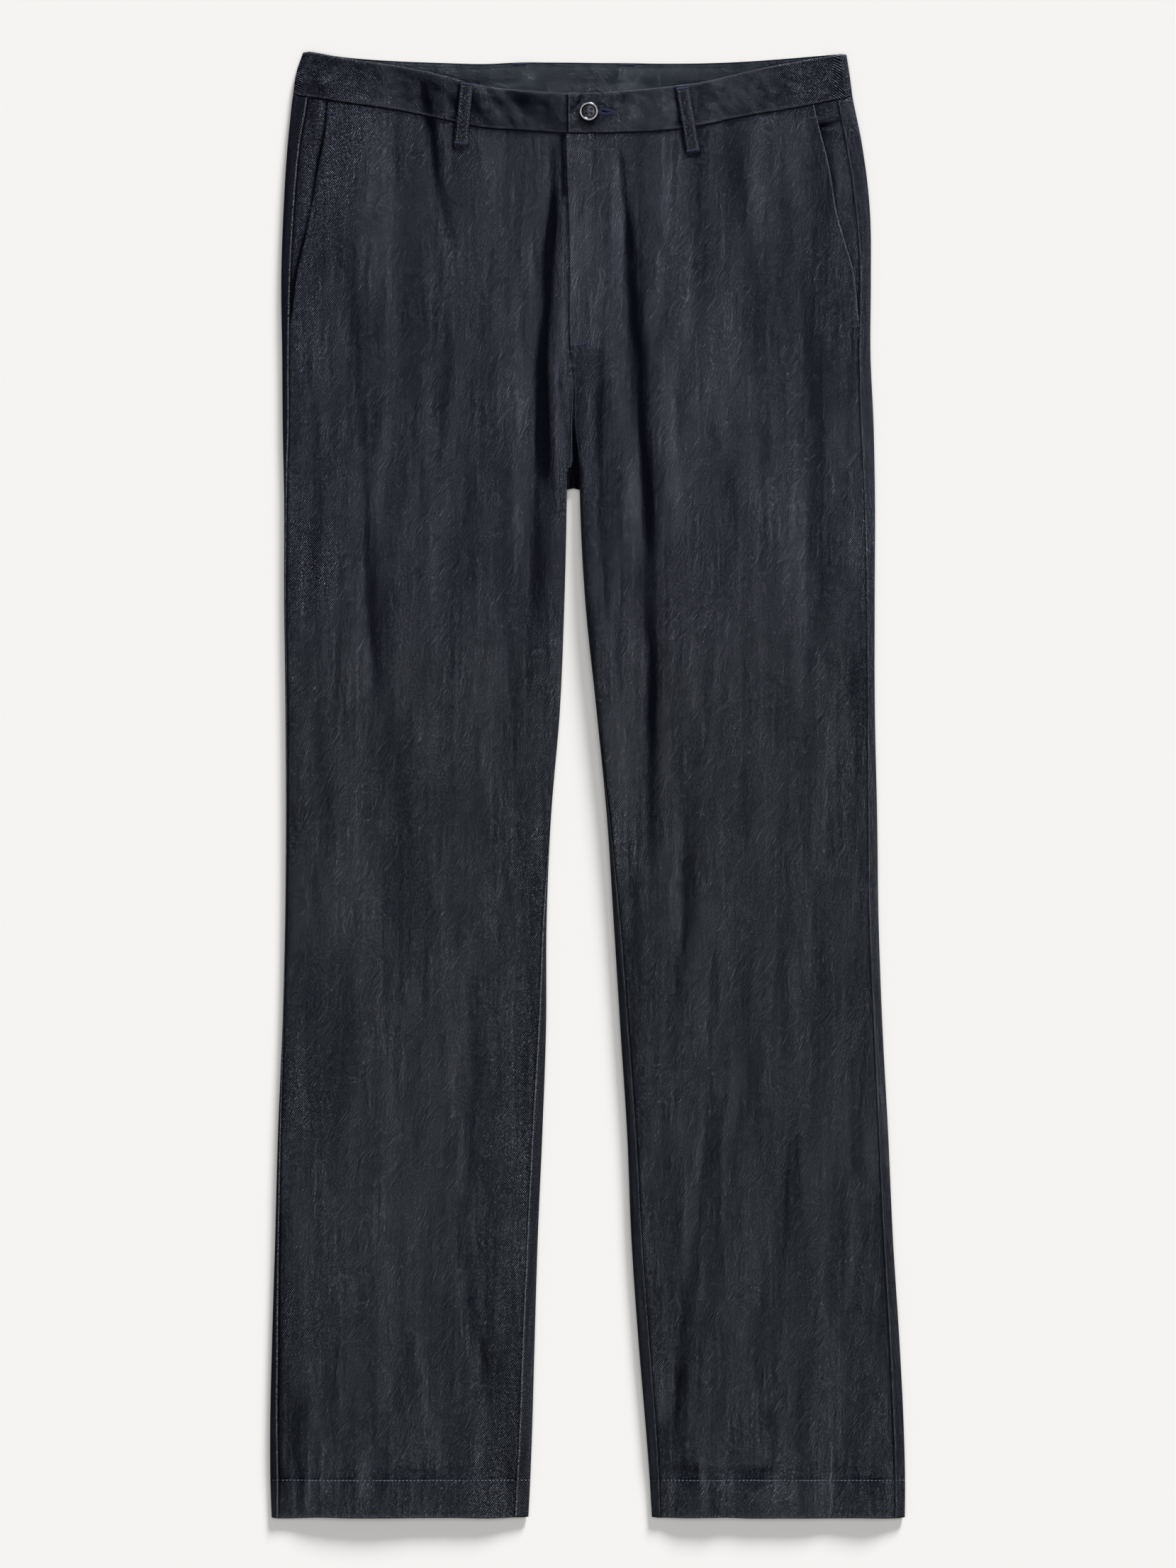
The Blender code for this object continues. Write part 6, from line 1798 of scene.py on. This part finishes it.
# The button's thread crosses twice between its holes
buttonTop = button()
knot = np.array([buttonCut["x"], buttonCut["y"], buttonTop - 1.35])
crossing = []
for j in (1, -1):
    half = np.array([buttonCut["threadAcross"], j * buttonCut["threadAlong"], 0.0])
    rise = 0.9 + 0.25 * (j < 0)
    for offset in (-0.28, 0.28):
        centre = knot + np.array([offset, 0.0, 0.0])
        path = denser([centre - half, centre + np.array([0.0, 0.0, rise]), centre + half], step=0.4)
        crossing.append(sewAlong(path, pitch=1.1, stitch=1.5, radius=0.27))
sewnPiece("button_thread", crossing, loopThreadMaterial)

# The buttonhole: satin stitches round a slit that the button holds open, drawn as a loop that is wide at the
# button and narrow at its far end
hole = {"x": 8.6, "y": 522.3, "length": 13.0, "drop": 1.2, "open": 2.5, "closed": 0.5, "lift": 0.35}
holeTurn = np.linspace(0.0, 2.0 * math.pi, 60)
holeWay = 0.5 - 0.5 * np.cos(holeTurn)
holeHalf = np.where(holeTurn < math.pi, 1.0, -1.0) * np.sin(math.pi * holeWay) ** 0.6
holeHalf = holeHalf * (hole["open"] + (hole["closed"] - hole["open"]) * holeWay)
holeX = hole["x"] + hole["length"] * holeWay
holeY = hole["y"] - hole["drop"] * holeWay + holeHalf
holePath = np.stack([holeX, holeY, bandFace(holeX, "left") + hole["lift"]], axis=-1)
holeStitches = satin(holePath, width=2.5, pitch=0.42, radius=0.26)
sewnPiece("buttonhole_stitches", [holeStitches], holeThreadMaterial)
print("the button is sewn on")


# Floor, light and camera
studio = {
    "middle": (0.275, 0.55),  # what the picture's centre looks at
    "frameHeight": 1216.6,
    "distance": 6000.0,
    "focus": 5.0,  # height at which the frame has that size
    "keyStrength": 5.0,
    "keySize": 14.0,
    "keyFrom": (0.33, 0.92, 0.33),
    "fillStrength": 1.42,
    "fillSize": 60.0,
    "ambient": 0.12,
    "floor": (0.845, 0.835, 0.82, 1.0),
    "floorDark": (0.80, 0.79, 0.775, 1.0),
}

floorMaterial, floorShader, floorWire = newMaterial("paleFloor")
floorPlace = floorWire.node("ShaderNodeTexCoord", {}, out=3)
floorCloud = noiseOn(floorWire, floorPlace, 2.0, 2.0)
floorColour = colourMix(floorWire, floorCloud * 0.04, studio["floor"], studio["floorDark"])
floorWire.tree.links.new(floorColour.socket, floorShader.inputs["Base Color"])
floorShader.inputs["Roughness"].default_value = 0.95
floorShader.inputs["Specular IOR Level"].default_value = 0.0
floorMesh = bpy.data.meshes.new("floor")
floorHalf, floorZ = 6.0, -0.0001  # in metres, just under the cloth
floorCorners = [(i * floorHalf, j * floorHalf, floorZ) for i, j in ((-1, -1), (1, -1), (1, 1), (-1, 1))]
floorMesh.from_pydata(floorCorners, [], [(0, 1, 2, 3)])
floorMesh.materials.append(floorMaterial)
floor = bpy.data.objects.new("floor", floorMesh)
bpy.context.scene.collection.objects.link(floor)


def sun(name, strength, size, direction):
    # a lamp far away, as wide as its size in degrees, that shines from the direction
    data = bpy.data.lights.new(name, "SUN")
    data.energy = strength
    data.angle = math.radians(size)
    lamp = bpy.data.objects.new(name, data)
    away = np.array(direction) / np.linalg.norm(direction)
    turn = math.atan2(away[0], -away[1]) if away[2] < 1.0 else 0.0
    lamp.rotation_euler = (math.acos(away[2]), 0.0, turn)
    bpy.context.scene.collection.objects.link(lamp)


sun("keyLight", studio["keyStrength"], studio["keySize"], studio["keyFrom"])
sun("fillLight", studio["fillStrength"], studio["fillSize"], (0.0, 0.0, 1.0))
world = bpy.data.worlds.new("studio")
world.use_nodes = True
background = world.node_tree.nodes["Background"]
background.inputs["Color"].default_value = (1.0, 1.0, 1.0, 1.0)
background.inputs["Strength"].default_value = studio["ambient"]
bpy.context.scene.world = world
bpy.context.scene.view_settings.view_transform = "Standard"
bpy.context.scene.view_settings.look = "None"

# The camera looks straight down, and its frame has its height at the focus, a little above the floor
cameraData = bpy.data.cameras.new("camera")
cameraData.sensor_fit = "VERTICAL"
cameraData.sensor_height = 24.0
cameraData.lens = (studio["distance"] - studio["focus"]) * cameraData.sensor_height / studio["frameHeight"]
cameraData.clip_start = 0.1
cameraData.clip_end = 50.0
camera = bpy.data.objects.new("camera", cameraData)
camera.location = (studio["middle"][0] * mm, studio["middle"][1] * mm, studio["distance"] * mm)
bpy.context.scene.collection.objects.link(camera)
bpy.context.scene.camera = camera
print("the studio is set")
